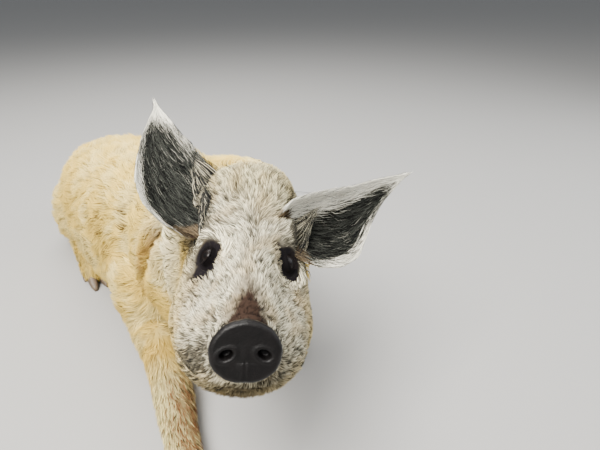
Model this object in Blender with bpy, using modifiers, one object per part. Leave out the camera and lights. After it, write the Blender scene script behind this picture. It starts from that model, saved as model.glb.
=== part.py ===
"""A young mangalica pig lying on its belly with its head raised, as a still, life-size model.

Metres, +Z up. The floor is z = 0, the head points to -Y, the pig's right side is -X, and the origin
is on the floor under the middle of the trunk.
"""
import math
import random

import bmesh
import bpy
import numpy as np
from mathutils import Matrix, Vector
from mathutils.bvhtree import BVHTree

# Driving dimensions
GAP = 0.0003  # between nodes that touch
HEAD_PLACE = Vector((-0.183, -0.835, 0.420))  # middle of the snout's disc
HEAD_YAW = -32.0  # degrees, towards the pig's right
HEAD_PITCH = -9.5  # nose up
HEAD_ROLL = 9.0
SNOUT_ROLL = -4.0  # the snout is held more level than the head
DISC_WIDTH = 0.073
DISC_HEIGHT = 0.066
DISC_TILT = -14.0  # degrees, the disc's face turns up from the line of the nose
DISC_DEPTH = 0.016
EYE_SIDE = 0.0490  # from the middle line to the middle of the eyeball
EYE_BACK = 0.166  # from the disc
EYE_UP = 0.027
EYE_RADIUS = 0.0125
EAR_WIDTH = 0.112
EAR_THICK = 0.006
LID_THICK = 0.0028
MOUTH_UP = -0.060  # height of the mouth's line from the middle of the disc
MOUTH_MIDDLE = 0.085  # its corners and front are turned about a point this far behind the disc
MOUTH_TURN = 117  # degrees from the front of the mouth to a corner
COAT_CORE = 0.015  # the body's locks grow out of a core this deep over the skin
COAT_TIP = 0.032  # and reach this far
FACE_COAT = 0.006
LEG_COAT = 0.007

# The trunk's skin: distance along the body, half width, top, bottom and squareness of each section
TRUNK = [
    (-0.375, 0.085, 0.330, 0.075, 2.0),
    (-0.350, 0.115, 0.380, 0.035, 2.1),
    (-0.300, 0.142, 0.402, 0.006, 2.2),
    (-0.200, 0.158, 0.390, -0.004, 2.3),
    (-0.060, 0.168, 0.360, -0.005, 2.4),
    (0.080, 0.171, 0.330, -0.005, 2.4),
    (0.190, 0.167, 0.310, -0.005, 2.4),
    (0.270, 0.150, 0.288, -0.004, 2.3),
    (0.330, 0.122, 0.258, 0.012, 2.1),
    (0.372, 0.082, 0.222, 0.050, 2.0),
    (0.395, 0.038, 0.180, 0.090, 2.0),
]
TRUNK_WIDEST = 0.128  # the trunk is widest this high
# The head's skin behind the disc: distance from the disc, half width, top, bottom, squareness,
# and how much wider it is low down than high up
HEAD = [
    (0.010, 0.029, 0.026, -0.034, 2.1, 0.00),
    (0.028, 0.040, 0.027, -0.071, 2.1, 0.24),
    (0.048, 0.054, 0.029, -0.089, 2.2, 0.36),
    (0.072, 0.065, 0.032, -0.098, 2.2, 0.38),
    (0.100, 0.072, 0.039, -0.104, 2.2, 0.38),
    (0.130, 0.076, 0.050, -0.107, 2.2, 0.37),
    (0.160, 0.079, 0.068, -0.109, 2.2, 0.36),
    (0.190, 0.082, 0.094, -0.110, 2.2, 0.31),
    (0.220, 0.085, 0.121, -0.110, 2.2, 0.20),
    (0.250, 0.086, 0.138, -0.110, 2.1, 0.08),
    (0.285, 0.082, 0.136, -0.106, 2.0, 0.00),
    (0.315, 0.066, 0.112, -0.080, 2.0, 0.00),
]
# The neck's rings from the head back: where, half width, half height, lean of the ring in degrees
NECK = [
    (Vector((-0.058, -0.634, 0.388)), 0.088, 0.124, -10.0),
    (Vector((-0.036, -0.578, 0.343)), 0.108, 0.154, -14.0),
    (Vector((-0.016, -0.510, 0.292)), 0.121, 0.178, -17.0),
    (Vector((-0.004, -0.418, 0.253)), 0.133, 0.186, -14.0),
    (Vector((0.000, -0.322, 0.224)), 0.138, 0.184, -6.5),
    (Vector((0.000, -0.235, 0.205)), 0.124, 0.160, 0.0),
]
# Rounded swellings of muscle: where, and half sizes along X, Y and Z
SWELLINGS = [
    (Vector((0.120, 0.225, 0.105)), Vector((0.064, 0.125, 0.105))),
    (Vector((0.118, -0.270, 0.120)), Vector((0.060, 0.105, 0.115))),
]
# Each leg's path from the body to the fetlock: where, half width and half height
RIGHT_FORELEG = [
    (Vector((-0.118, -0.270, 0.085)), 0.050, 0.060),
    (Vector((-0.134, -0.340, 0.066)), 0.045, 0.053),
    (Vector((-0.149, -0.420, 0.052)), 0.038, 0.044),
    (Vector((-0.165, -0.490, 0.042)), 0.034, 0.038),
    (Vector((-0.180, -0.540, 0.038)), 0.033, 0.035),
    (Vector((-0.195, -0.590, 0.031)), 0.028, 0.029),
    (Vector((-0.207, -0.635, 0.028)), 0.026, 0.027),
    (Vector((-0.216, -0.672, 0.028)), 0.029, 0.027),
    (Vector((-0.223, -0.700, 0.026)), 0.026, 0.024),
]
LEFT_FOREARM = [
    (Vector((0.120, -0.280, 0.085)), 0.052, 0.058),
    (Vector((0.134, -0.350, 0.062)), 0.047, 0.052),
    (Vector((0.134, -0.415, 0.048)), 0.041, 0.043),
    (Vector((0.126, -0.475, 0.041)), 0.036, 0.038),
    (Vector((0.104, -0.512, 0.037)), 0.034, 0.035),
]
LEFT_FOREFOOT = [
    (Vector((0.104, -0.512, 0.037)), 0.033, 0.034),
    (Vector((0.068, -0.500, 0.032)), 0.028, 0.030),
    (Vector((0.050, -0.455, 0.029)), 0.026, 0.027),
    (Vector((0.044, -0.415, 0.027)), 0.028, 0.026),
    (Vector((0.042, -0.385, 0.025)), 0.025, 0.023),
]
HIND_FOOT = [
    (Vector((0.128, 0.250, 0.050)), 0.036, 0.046),
    (Vector((0.146, 0.190, 0.038)), 0.030, 0.036),
    (Vector((0.156, 0.130, 0.031)), 0.027, 0.029),
    (Vector((0.162, 0.070, 0.028)), 0.026, 0.027),
    (Vector((0.165, 0.030, 0.028)), 0.029, 0.027),
    (Vector((0.166, 0.002, 0.026)), 0.026, 0.024),
]
CLAW = {"length": 0.046, "width": 0.024, "height": 0.034}
DEWCLAW = {"length": 0.022, "width": 0.014, "height": 0.016}
TAIL = [
    (Vector((0.000, 0.340, 0.205)), 0.019, 0.019),
    (Vector((0.000, 0.385, 0.185)), 0.017, 0.017),
    (Vector((0.004, 0.412, 0.145)), 0.014, 0.014),
    (Vector((0.014, 0.420, 0.100)), 0.012, 0.012),
    (Vector((0.028, 0.420, 0.062)), 0.014, 0.014),
    (Vector((0.040, 0.418, 0.034)), 0.012, 0.012),
    (Vector((0.046, 0.416, 0.018)), 0.004, 0.004),
]
LOCK_ROW = 0.094  # distance between rows of locks along the trunk
LOCKS_AROUND = 9  # locks in a row, from flank to flank
LOCK_LENGTH = 0.145
LOCK_WIDTH = 0.082
LOCK_THICK = 0.015
LOCK_ROOT = 0.009  # a lock's root is sunk this deep
NECK_LOCK = (0.130, 0.076, 0.014, 0.015)  # length, width, thickness, height of the tip
POLL_LOCK = (0.052, 0.032, 0.009, 0.008)
CHEEK_LOCK = (0.062, 0.038, 0.009, 0.009)
TAIL_LOCK = (0.062, 0.018, 0.007, 0.006)
HEAD_CUT = 0.282  # the head ends and the neck begins this far behind the disc
NECK_CUT = -0.345  # the neck ends and the torso begins here along the body
FOREFOOT_CUT = -0.520  # the right forearm ends and the foot begins
LEG_PART_SIDE = 0.098  # forelegs are parted from the neck here, to each side
LEG_PART_TOP = 0.118  # and here in height
FAR = 1.5  # beyond every part of the pig

COLOURS = {
    "coat": (0.72, 0.62, 0.42, 1.0),
    "face": (0.62, 0.57, 0.48, 1.0),
    "ear": (0.25, 0.25, 0.23, 1.0),
    "snout": (0.030, 0.026, 0.028, 1.0),
    "eye": (0.015, 0.010, 0.008, 1.0),
    "claw": (0.09, 0.07, 0.055, 1.0),
}
ROUGHNESS = {"coat": 0.85, "face": 0.85, "ear": 0.8, "snout": 0.35, "eye": 0.08, "claw": 0.5}


def clear_scene():
    for old in list(bpy.data.objects):
        bpy.data.objects.remove(old)


def collection(name):
    made = bpy.data.collections.new(name)
    bpy.context.scene.collection.children.link(made)
    return made


def material(slot):
    made = bpy.data.materials.get(slot) or bpy.data.materials.new(slot)
    made.use_nodes = True
    shader = made.node_tree.nodes["Principled BSDF"]
    shader.inputs["Base Color"].default_value = COLOURS[slot]
    shader.inputs["Roughness"].default_value = ROUGHNESS[slot]
    shader.inputs["Metallic"].default_value = 0.0
    return made


def head_matrix():
    turn = (
        Matrix.Rotation(math.radians(HEAD_YAW), 4, "Z")
        @ Matrix.Rotation(math.radians(HEAD_PITCH), 4, "X")
        @ Matrix.Rotation(math.radians(HEAD_ROLL), 4, "Y")
    )
    return Matrix.Translation(HEAD_PLACE) @ turn


def section(half_width, up, down, squareness, count, pear=0.0):
    """A closed outline round (0, 0), a superellipse with its own upper and lower half."""
    points = []
    for k in range(count):
        angle = 2.0 * math.pi * (k + 0.5) / count
        across = math.copysign(abs(math.cos(angle)) ** (2.0 / squareness), math.cos(angle))
        upward = math.copysign(abs(math.sin(angle)) ** (2.0 / squareness), math.sin(angle))
        across *= 1.0 - pear * upward
        points.append((half_width * across, (up if upward > 0.0 else down) * upward))
    return points


def loft(name, rings):
    """A closed mesh through rings of equally many points, with a flat cap on each end."""
    mesh = bmesh.new()
    rows = [[mesh.verts.new(point) for point in ring] for ring in rings]
    count = len(rows[0])
    for near, far in zip(rows, rows[1:]):
        for k in range(count):
            nxt = (k + 1) % count
            mesh.faces.new((near[k], near[nxt], far[nxt], far[k]))
    mesh.faces.new(rows[0])
    mesh.faces.new(rows[-1])
    bmesh.ops.recalc_face_normals(mesh, faces=mesh.faces)
    return finish_mesh(name, mesh)


def finish_mesh(name, mesh):
    data = bpy.data.meshes.new(name)
    mesh.to_mesh(data)
    mesh.free()
    made = bpy.data.objects.new(name, data)
    WORK.objects.link(made)
    return made


def trunk_rings(grow, count):
    rings = []
    for along, half, top, bottom, square in TRUNK:
        middle = max(TRUNK_WIDEST, bottom + 0.04)
        outline = section(half + grow, top - middle + grow, middle - bottom, square, count)
        rings.append([Vector((x, along, middle + z)) for x, z in outline])
    first = TRUNK[0][0] - 0.5 * grow
    last = TRUNK[-1][0] + grow
    rings[0] = [Vector((p.x, first, p.z)) for p in rings[0]]
    rings[-1] = [Vector((p.x, last, p.z)) for p in rings[-1]]
    return rings


def head_rings(grow, count):
    place = head_matrix()
    rings = []
    for back, half, top, bottom, square, pear in HEAD:
        middle = bottom + 0.48 * (top - bottom)
        up, down = top - middle + grow, middle - bottom + grow
        outline = section(half + grow, up, down, square, count, pear)
        rings.append([place @ Vector((x, back, middle + z)) for x, z in outline])
    return rings


def neck_rings(grow, count):
    rings = []
    for share, (where, half, tall, lean) in enumerate(NECK):
        yaw = HEAD_YAW * max(0.0, 1.0 - share / 2.5)
        turn = Matrix.Rotation(math.radians(yaw), 3, "Z") @ Matrix.Rotation(math.radians(lean), 3, "X")
        outline = section(half + grow, tall + grow, tall + 0.3 * grow, 2.1, count)
        rings.append([where + turn @ Vector((x, 0.0, z)) for x, z in outline])
    return rings


def path_rings(path, grow, count):
    """Rings along a leg or the tail, upright and square to the way that it runs."""
    rings = []
    for k, (where, half, tall) in enumerate(path):
        ahead = path[min(k + 1, len(path) - 1)][0] - path[max(k - 1, 0)][0]
        ahead.normalize()
        side = ahead.cross(Vector((0.0, 0.0, 1.0))) if abs(ahead.z) < 0.85 else Vector((1.0, 0.0, 0.0))
        side.normalize()
        up = side.cross(ahead)
        outline = section(half + grow, tall + grow, tall + 0.5 * grow, 2.1, count)
        rings.append([where + x * side + z * up for x, z in outline])
    return rings


def ball(name, where, radii, steps=16):
    mesh = bmesh.new()
    bmesh.ops.create_uvsphere(mesh, u_segments=steps, v_segments=steps // 2, radius=1.0)
    bmesh.ops.transform(mesh, matrix=Matrix.Diagonal(radii).to_4x4(), verts=mesh.verts)
    bmesh.ops.transform(mesh, matrix=where, verts=mesh.verts)
    return finish_mesh(name, mesh)


def mirrored(path):
    return [(Vector((-where.x, where.y, where.z)), half, tall) for where, half, tall in path]


def joined(name, objects):
    mesh = bmesh.new()
    for piece in objects:
        mesh.from_mesh(piece.data)
        bpy.data.objects.remove(piece)
    return finish_mesh(name, mesh)


def applied(obj):
    """Replaces the object's mesh by what its modifiers make of it."""
    shape = bpy.data.meshes.new_from_object(
        obj.evaluated_get(bpy.context.evaluated_depsgraph_get())
    )
    obj.modifiers.clear()
    obj.data = shape
    return obj


def remeshed(obj, voxel, smooth, ratio):
    """One smooth skin round overlapping closed forms."""
    remesh = obj.modifiers.new("skin", "REMESH")
    remesh.mode = "VOXEL"
    remesh.voxel_size = voxel
    relax = obj.modifiers.new("relax", "SMOOTH")
    relax.factor = 0.5
    relax.iterations = smooth
    thin = obj.modifiers.new("thin", "DECIMATE")
    thin.ratio = ratio
    return applied(obj)


def boolean(obj, operation, others, solver="MANIFOLD"):
    """Joins or cuts the object by a list of closed mesh objects, which it uses up."""
    group = bpy.data.collections.new("operands")
    for other in others:
        group.objects.link(other)
    step = obj.modifiers.new("boolean", "BOOLEAN")
    step.operation = operation
    step.operand_type = "COLLECTION"
    step.collection = group
    step.solver = solver
    applied(obj)
    for other in others:
        bpy.data.objects.remove(other)
    bpy.data.collections.remove(group)
    return obj


def box(name, low, high, place=Matrix.Identity(4)):
    mesh = bmesh.new()
    bmesh.ops.create_cube(mesh, size=1.0)
    size = Matrix.Diagonal(Vector(high) - Vector(low)).to_4x4()
    middle = Matrix.Translation((Vector(low) + Vector(high)) / 2.0)
    bmesh.ops.transform(mesh, matrix=place @ middle @ size, verts=mesh.verts)
    return finish_mesh(name, mesh)


def swollen(obj, by):
    """A copy of the object whose surface lies further out, to cut its neighbour clear of it."""
    mesh = bmesh.new()
    mesh.from_mesh(obj.data)
    mesh.normal_update()
    for vert in mesh.verts:
        vert.co += vert.normal * by * min(2.0, vert.calc_shell_factor())
    return finish_mesh(obj.name + "_clear", mesh)


def copied(obj, name):
    made = bpy.data.objects.new(name, obj.data.copy())
    WORK.objects.link(made)
    return made


def largest(obj):
    """Keeps only the largest closed surface of the object, in triangles."""
    mesh = bmesh.new()
    mesh.from_mesh(obj.data)
    bmesh.ops.remove_doubles(mesh, verts=mesh.verts, dist=0.000002)
    bmesh.ops.dissolve_degenerate(mesh, dist=0.000004, edges=mesh.edges)
    bmesh.ops.triangulate(mesh, faces=mesh.faces)
    left = set(mesh.faces)
    best, most = set(), -1.0
    while left:
        shell, edge = set(), [left.pop()]
        while edge:
            face = edge.pop()
            shell.add(face)
            for side in face.edges:
                for near in side.link_faces:
                    if near in left:
                        left.discard(near)
                        edge.append(near)
        points = [v.co for face in shell for v in face.verts]
        spread = sum((max(p[k] for p in points) - min(p[k] for p in points)) ** 2 for k in range(3))
        if spread > most:
            best, most = shell, spread
    bmesh.ops.delete(mesh, geom=[f for f in mesh.faces if f not in best], context="FACES")
    mesh.to_mesh(obj.data)
    mesh.free()
    return obj


def node(name, obj, slot):
    """Files the finished object under its own name, with its material and smooth shading."""
    obj.name = name
    obj.data.name = name
    obj.data.materials.clear()
    obj.data.materials.append(material(slot))
    obj.data.shade_smooth()
    obj.data.set_sharp_from_angle(angle=math.radians(40.0))
    for group in list(obj.users_collection):
        group.objects.unlink(obj)
    PIG.objects.link(obj)
    return obj


def above_floor(obj):
    """Cuts a flat on the floor where the form dips below it."""
    return boolean(obj, "INTERSECT", [box("room", (-2.0, -2.0, 0.0), (2.0, 2.0, 2.0))])


def whole_body(grow_body, grow_head, voxel, ratio):
    """Trunk, neck, head, forelegs and the swellings of shoulder and haunch in one skin."""
    forms = [
        loft("trunk", trunk_rings(grow_body, 36)),
        loft("neck_form", neck_rings(0.5 * (grow_body + grow_head), 36)),
        loft("head_form", head_rings(grow_head, 36)),
        loft("foreleg_form", path_rings(RIGHT_FORELEG, LEG_COAT, 24)),
        loft("forearm_form", path_rings(LEFT_FOREARM, LEG_COAT, 24)),
    ]
    for where, radii in SWELLINGS:
        for side in (-1.0, 1.0):
            there = Matrix.Translation((side * where.x, where.y, where.z))
            forms.append(ball("swelling", there, radii + Vector((grow_body,) * 3), 24))
    return remeshed(joined("whole", forms), voxel, 5, ratio)


def snout_matrix():
    return (
        head_matrix()
        @ Matrix.Rotation(math.radians(SNOUT_ROLL), 4, "Y")
        @ Matrix.Rotation(math.radians(DISC_TILT), 4, "X")
    )


def snout_rings(grow, count):
    """The disc, wider than the nose behind it, its face turned up a little."""
    place = snout_matrix()
    half, tall = DISC_WIDTH / 2.0 + grow, DISC_HEIGHT / 2.0 + grow
    steps = [
        (0.0, 0.80),
        (0.0025, 0.93),
        (0.006, 1.0),
        (0.010, 0.99),
        (DISC_DEPTH, 0.86),
        (DISC_DEPTH + 0.008, 0.74),
    ]
    rings = []
    for back, share in steps:
        outline = section(half * share, tall * share, tall * share, 2.15, count)
        rings.append([place @ Vector((x, back, z)) for x, z in outline])
    return rings


def nostril(side):
    place = snout_matrix()
    rings = []
    for back, wide, tall in ((-0.004, 0.0075, 0.0062), (0.004, 0.0055, 0.0046), (0.012, 0.0035, 0.003)):
        outline = section(wide, tall, tall, 2.0, 10)
        shift = side * (0.0195 - 0.15 * back)
        rings.append([place @ Vector((x + shift, back, z - 0.002)) for x, z in outline])
    return loft("nostril", rings)


def ear_rings(side):
    """The ear as a cupped leaf: rings round its thickness from the root to the tip."""
    base = EAR_PLACES[side]
    rings = []
    steps = 9
    for k in range(steps):
        share = k / (steps - 1)
        wide = EAR_WIDTH * along_ear(share, base["widths"])
        curl = math.radians(base["curl"] * (1.0 - 0.55 * share))
        thick = EAR_THICK * (1.9 - 1.35 * share)
        radius = wide / curl
        shift = along_ear(share, base["bow"])
        ring = []
        across_steps = 6
        for layer in (1.0, -1.0):
            for j in range(across_steps + 1):
                u = (j / across_steps - 0.5) * layer
                rim = 1.0 - 0.75 * abs(2.0 * u) ** 3
                r = radius + layer * 0.5 * thick * rim
                ring.append((r * math.sin(u * curl) + shift, r * math.cos(u * curl) - radius))
        bend = base["bend"] * share * share
        rings.append(
            [base["frame"] @ Vector((x, y + bend, base["length"] * share - 0.012)) for x, y in ring]
        )
    return rings


def along_ear(share, values):
    """Reads a table of values that are given at fixed places from the ear's root to its tip."""
    return float(np.interp(share, (0.0, 0.12, 0.30, 0.50, 0.70, 0.88, 1.0), values))


def ear_frame(root, tip, front):
    """Axes of an ear in the head: its length, its width and the way that its cup faces."""
    place = head_matrix()
    length = (Vector(tip) - Vector(root)).normalized()
    face = Vector(front) - Vector(front).dot(length) * length
    face.normalize()
    width = face.cross(length)
    axes = Matrix((width, -face, length)).transposed().to_4x4()
    return place @ Matrix.Translation(root) @ axes


# Where the ears stand in the head; their widths as shares of the widest place, and how far their
# middle bows to one side, from root to tip
EAR_PLACES = {
    "right": {
        "frame": ear_frame((-0.083, 0.243, 0.060), (-0.172, 0.386, 0.204), (0.10, -0.80, 0.60)),
        "length": 0.216,
        "curl": 120.0,
        "bend": 0.010,
        "widths": (0.84, 1.04, 0.98, 0.74, 0.46, 0.22, 0.04),
        "bow": (0.004, 0.009, 0.010, 0.011, 0.010, 0.004, 0.0),
    },
    "left": {
        "frame": ear_frame((0.082, 0.226, 0.060), (0.246, 0.300, 0.138), (0.20, -0.80, 0.20)),
        "length": 0.206,
        "curl": 105.0,
        "bend": 0.012,
        "widths": (0.84, 1.02, 0.95, 0.56, 0.30, 0.15, 0.04),
        "bow": (0.004, -0.008, -0.013, -0.006, 0.0, 0.0, 0.0),
    },
}


def claw(place, size, sides):
    """One claw: flat below, round in front and highest where it grows from the foot."""
    rings = []
    for share, wide, tall in ((0.0, 0.80, 0.86), (0.35, 1.0, 1.0), (0.7, 0.82, 0.68), (1.0, 0.34, 0.28)):
        outline = section(size["width"] / 2 * wide, size["height"] / 2 * tall,
                          size["height"] / 2 * tall, 2.6, sides)
        lift = size["height"] / 2 * tall
        rings.append([place @ Vector((x, -size["length"] * share, lift + z)) for x, z in outline])
    return loft("claw", rings)


def foot_frame(path):
    """Where the claws begin: at the end of the path, level, facing the way that it runs."""
    end, before = path[-1][0], path[-2][0]
    ahead = end - before
    heading = math.atan2(ahead.x, -ahead.y)
    return Matrix.Translation((end.x, end.y, 0.0)) @ Matrix.Rotation(heading, 4, "Z")


def make_feet(name, path, leg):
    """Two claws and two dewclaws on one foot, cut into the leg that carries them."""
    frame = foot_frame(path)
    for label, side in (("inner", -1.0), ("outer", 1.0)):
        place = (
            frame
            @ Matrix.Translation((side * 0.0128, 0.008, 0.0))
            @ Matrix.Rotation(side * 0.06, 4, "Z")
        )
        made = claw(place, CLAW, 8)
        boolean(leg, "DIFFERENCE", [swollen(made, GAP)])
        node(f"claw_{name}_{label}", largest(above_floor(made)), "claw")
        place = (
            frame
            @ Matrix.Translation((side * 0.0215, 0.042, 0.001))
            @ Matrix.Rotation(side * 0.35, 4, "Z")
        )
        made = claw(place, DEWCLAW, 6)
        boolean(leg, "DIFFERENCE", [swollen(made, GAP)])
        node(f"dewclaw_{name}_{label}", largest(made), "claw")


def head_side():
    return box("head_side", (-FAR, -FAR, -FAR), (FAR, HEAD_CUT - GAP / 2, FAR), head_matrix())


def neck_side():
    return box("neck_side", (-FAR, HEAD_CUT + GAP / 2, -FAR), (FAR, FAR, FAR), head_matrix())


def leg_room(side, first, last, gap):
    """The box that a foreleg is parted by, between two places along the body."""
    inner = LEG_PART_SIDE - gap
    low = (min(side * inner, side * FAR), first, -FAR)
    high = (max(side * inner, side * FAR), last, LEG_PART_TOP + gap)
    return box("leg_room", low, high)


def surface_of(obj):
    mesh = bmesh.new()
    mesh.from_mesh(obj.data)
    tree = BVHTree.FromBMesh(mesh)
    mesh.free()
    return tree


def lock(surface, root, lie, size, rng):
    """A flat, tapered lock that starts inside the surface, follows it along the lie and lifts off.

    size holds the lock's length, width, thickness and how high its tip stands.
    """
    length, width, thick, lift = size
    steps = 4
    spot, normal, _, _ = surface.find_nearest(root)
    turn = rng.uniform(-0.35, 0.35)
    heading = (Matrix.Rotation(turn, 3, normal) @ lie)
    rows = []
    for k in range(steps + 1):
        share = k / steps
        along = (heading - heading.dot(normal) * normal).normalized()
        side = normal.cross(along)
        high = -LOCK_ROOT + (lift + LOCK_ROOT) * share ** 0.9
        middle = spot + normal * high
        half = 0.5 * width * (0.7, 1.0, 0.92, 0.58, 0.0)[k]
        tall = 0.5 * thick * (0.8, 1.1, 1.2, 0.8, 0.0)[k]
        if k == steps:
            rows.append([middle])
        else:
            rows.append([middle + side * half, middle + normal * tall,
                         middle - side * half, middle - normal * tall])
        spot, normal, _, _ = surface.find_nearest(spot + along * length / steps)
        heading = along
    mesh = bmesh.new()
    points = [[mesh.verts.new(p) for p in row] for row in rows]
    for near, far in zip(points, points[1:]):
        for k in range(4):
            nxt = (k + 1) % 4
            if len(far) == 1:
                mesh.faces.new((near[k], near[nxt], far[0]))
            else:
                mesh.faces.new((near[k], near[nxt], far[nxt], far[k]))
    mesh.faces.new(points[0])
    bmesh.ops.recalc_face_normals(mesh, faces=mesh.faces)
    bmesh.ops.triangulate(mesh, faces=mesh.faces)
    return finish_mesh("lock", mesh)


def trunk_locks(surface, first, last, seed):
    """Locks in staggered rows over the trunk, lying backwards and down the flanks."""
    rng = random.Random(seed)
    made = []
    rows = round((last - first) / LOCK_ROW)
    for row in range(rows):
        along = first + (row + 0.5) * (last - first) / rows
        for k in range(LOCKS_AROUND):
            share = (k + 0.5 * (row % 2) + rng.uniform(-0.15, 0.15)) / (LOCKS_AROUND - 0.5)
            angle = math.pi * (1.17 - 1.34 * share)
            ray = Vector((math.cos(angle), 0.0, math.sin(angle)))
            start = Vector((0.0, along + rng.uniform(-0.012, 0.012), 0.12))
            root, _, _, _ = surface.ray_cast(start, ray)
            if root is None or root.z < 0.035:
                continue
            lie = Vector((0.35 * ray.x, 1.0, -0.55 * (1.0 - max(0.0, ray.z))))
            length = LOCK_LENGTH * rng.uniform(0.85, 1.15)
            size = (length, LOCK_WIDTH * rng.uniform(0.85, 1.1), LOCK_THICK, COAT_TIP - COAT_CORE)
            made.append(lock(surface, root, lie, size, rng))
    return made


def neck_locks(surface, seed):
    """Locks round the neck, lying from the head back to the shoulders."""
    rng = random.Random(seed)
    made = []
    for row, share in enumerate((0.08, 0.27, 0.46, 0.64)):
        near = min(len(NECK) - 2, int(share * (len(NECK) - 1)))
        part = share * (len(NECK) - 1) - near
        start = NECK[near][0].lerp(NECK[near + 1][0], part)
        for k in range(8):
            angle = math.pi * (1.40 - 1.80 * (k + 0.5 * (row % 2) + 0.25) / 8.0)
            ray = Vector((math.cos(angle), 0.35 * math.sin(angle), math.sin(angle)))
            root, _, _, _ = surface.ray_cast(start, ray.normalized())
            if root is None or root.z < 0.10:
                continue
            lie = Vector((0.25 * ray.x, 0.85, -0.75))
            size = (NECK_LOCK[0] * rng.uniform(0.9, 1.15),) + NECK_LOCK[1:]
            made.append(lock(surface, root, lie, size, rng))
    return made


def head_locks(surface, seed):
    """Locks on the poll, the cheeks and the jowls."""
    rng = random.Random(seed)
    place = head_matrix()
    turn = place.to_3x3()
    made = []
    spots = [((x, 0.240 + 0.2 * abs(x), 0.2), (0.25 * x / 0.03, 0.9, 0.2), POLL_LOCK)
             for x in (-0.024, 0.0, 0.024)]
    for side in (-1.0, 1.0):
        spots += [((side * 0.16, back, up), (side * 0.1, 0.9, -0.35), CHEEK_LOCK)
                  for back, up in ((0.215, -0.02), (0.200, -0.06), (0.165, -0.085), (0.12, -0.10))]
        spots += [((side * 0.10, back, -0.2), (side * 0.1, 0.9, -0.2), CHEEK_LOCK)
                  for back in (0.07, 0.13)]
    for where, lie, size in spots:
        start = place @ Vector(where)
        root, _, _, _ = surface.find_nearest(start)
        size = (size[0] * rng.uniform(0.9, 1.1),) + size[1:]
        made.append(lock(surface, root, turn @ Vector(lie), size, rng))
    return made


def tail_locks(surface, seed):
    """The tuft on the end of the tail."""
    rng = random.Random(seed)
    made = []
    for k in range(5):
        angle = math.pi * (0.1 + 0.2 * k)
        high = (0.105, 0.085, 0.100, 0.080, 0.105)[k]
        root = Vector((0.012 + 0.03 * math.cos(angle), 0.42 + 0.03 * math.sin(angle), high))
        size = (TAIL_LOCK[0] * rng.uniform(0.9, 1.1),) + TAIL_LOCK[1:]
        made.append(lock(surface, root, Vector((0.45, 0.1, -1.0)), size, rng))
    return made


def mouth_path(surface, lift):
    """Points along the line of the mouth, on the head's surface, from one corner to the other."""
    place = head_matrix()
    turn = place.to_3x3()
    points = []
    for degrees in range(-MOUTH_TURN, MOUTH_TURN + 1, MOUTH_TURN // 9):
        angle = math.radians(degrees)
        out = Vector((math.sin(angle), -math.cos(angle), 0.0))
        middle = Vector((0.0, MOUTH_MIDDLE, MOUTH_UP + 0.012 * (degrees / MOUTH_TURN) ** 4))
        hit, normal, _, _ = surface.ray_cast(place @ (middle + 0.3 * out), turn @ -out)
        points.append(hit + normal * lift)
    return points


def tube(name, points, radius, sides):
    """A closed tube along points, drawn to a point at each end."""
    rings = []
    for k, point in enumerate(points):
        ahead = (points[min(k + 1, len(points) - 1)] - points[max(k - 1, 0)]).normalized()
        side = ahead.cross(Vector((0.0, 0.0, 1.0))).normalized()
        up = side.cross(ahead)
        size = radius * (0.35 if k in (0, len(points) - 1) else 1.0)
        rings.append([
            point + size * (math.cos(a) * side + math.sin(a) * up)
            for a in (2.0 * math.pi * j / sides for j in range(sides))
        ])
    return loft(name, rings)


def eye_frame(side):
    """Axes at an eye: along the slit, up the lids and out of the head."""
    outward = Vector((side * 0.62, -0.56, 0.55)).normalized()
    slit = Vector((side * 0.45, -0.30, -0.84))
    slit = (slit - slit.dot(outward) * outward).normalized()
    upward = outward.cross(slit)
    axes = Matrix((slit, upward, outward)).transposed().to_4x4()
    middle = Matrix.Translation((side * EYE_SIDE, EYE_BACK, EYE_UP))
    return head_matrix() @ middle @ axes


def set_eye(head, side, label):
    """The eyeball, its two lids and the slit between them."""
    frame = eye_frame(side)
    lids = ball("lids", frame, Vector((1.15, 1.0, 1.0)) * (EYE_RADIUS + LID_THICK), 16)
    boolean(head, "UNION", [lids])
    slit = frame @ Matrix.Translation((0.0, 0.0, EYE_RADIUS + 0.002))
    boolean(head, "DIFFERENCE", [ball("slit", slit, Vector((0.0125, 0.0080, 0.010)), 12)])
    boolean(head, "DIFFERENCE", [ball("eye_clear", frame, Vector((EYE_RADIUS + GAP,) * 3), 12)])
    node(f"eye_{label}", ball("eye", frame, Vector((EYE_RADIUS,) * 3), 12), "eye")


clear_scene()
PIG = collection("mangalica_pig")
WORK = collection("cutters")

body = whole_body(COAT_CORE, FACE_COAT, 0.008, 0.024)
fine = whole_body(COAT_CORE, FACE_COAT, 0.005, 0.034)


face = surface_of(fine)
hide = surface_of(body)
head = boolean(fine, "UNION", head_locks(face, 5) + [tube("lips", mouth_path(face, -0.003), 0.005, 6)])
boolean(head, "DIFFERENCE", [tube("mouth", mouth_path(face, 0.0012), 0.0036, 4)])
boolean(head, "INTERSECT", [head_side()])
neck = boolean(copied(body, "neck"), "UNION", neck_locks(hide, 11))
boolean(neck, "INTERSECT", [neck_side()])
boolean(neck, "INTERSECT", [box("neck_front", (-FAR, -FAR, -FAR), (FAR, NECK_CUT - GAP / 2, FAR))])
for side in (-1.0, 1.0):
    boolean(neck, "DIFFERENCE", [leg_room(side, -FAR, FAR, GAP)])
forefoot = boolean(
    copied(body, "forefoot"), "INTERSECT", [leg_room(-1.0, -FAR, FOREFOOT_CUT - GAP / 2, 0.0)]
)
foreleg = boolean(
    copied(body, "foreleg"),
    "INTERSECT",
    [leg_room(-1.0, FOREFOOT_CUT + GAP / 2, NECK_CUT - GAP / 2, 0.0)],
)
left_foreleg = boolean(
    copied(body, "left"), "INTERSECT", [leg_room(1.0, -FAR, NECK_CUT - GAP / 2, 0.0)]
)
torso = boolean(body, "UNION", trunk_locks(hide, -0.36, 0.40, 23))
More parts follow.
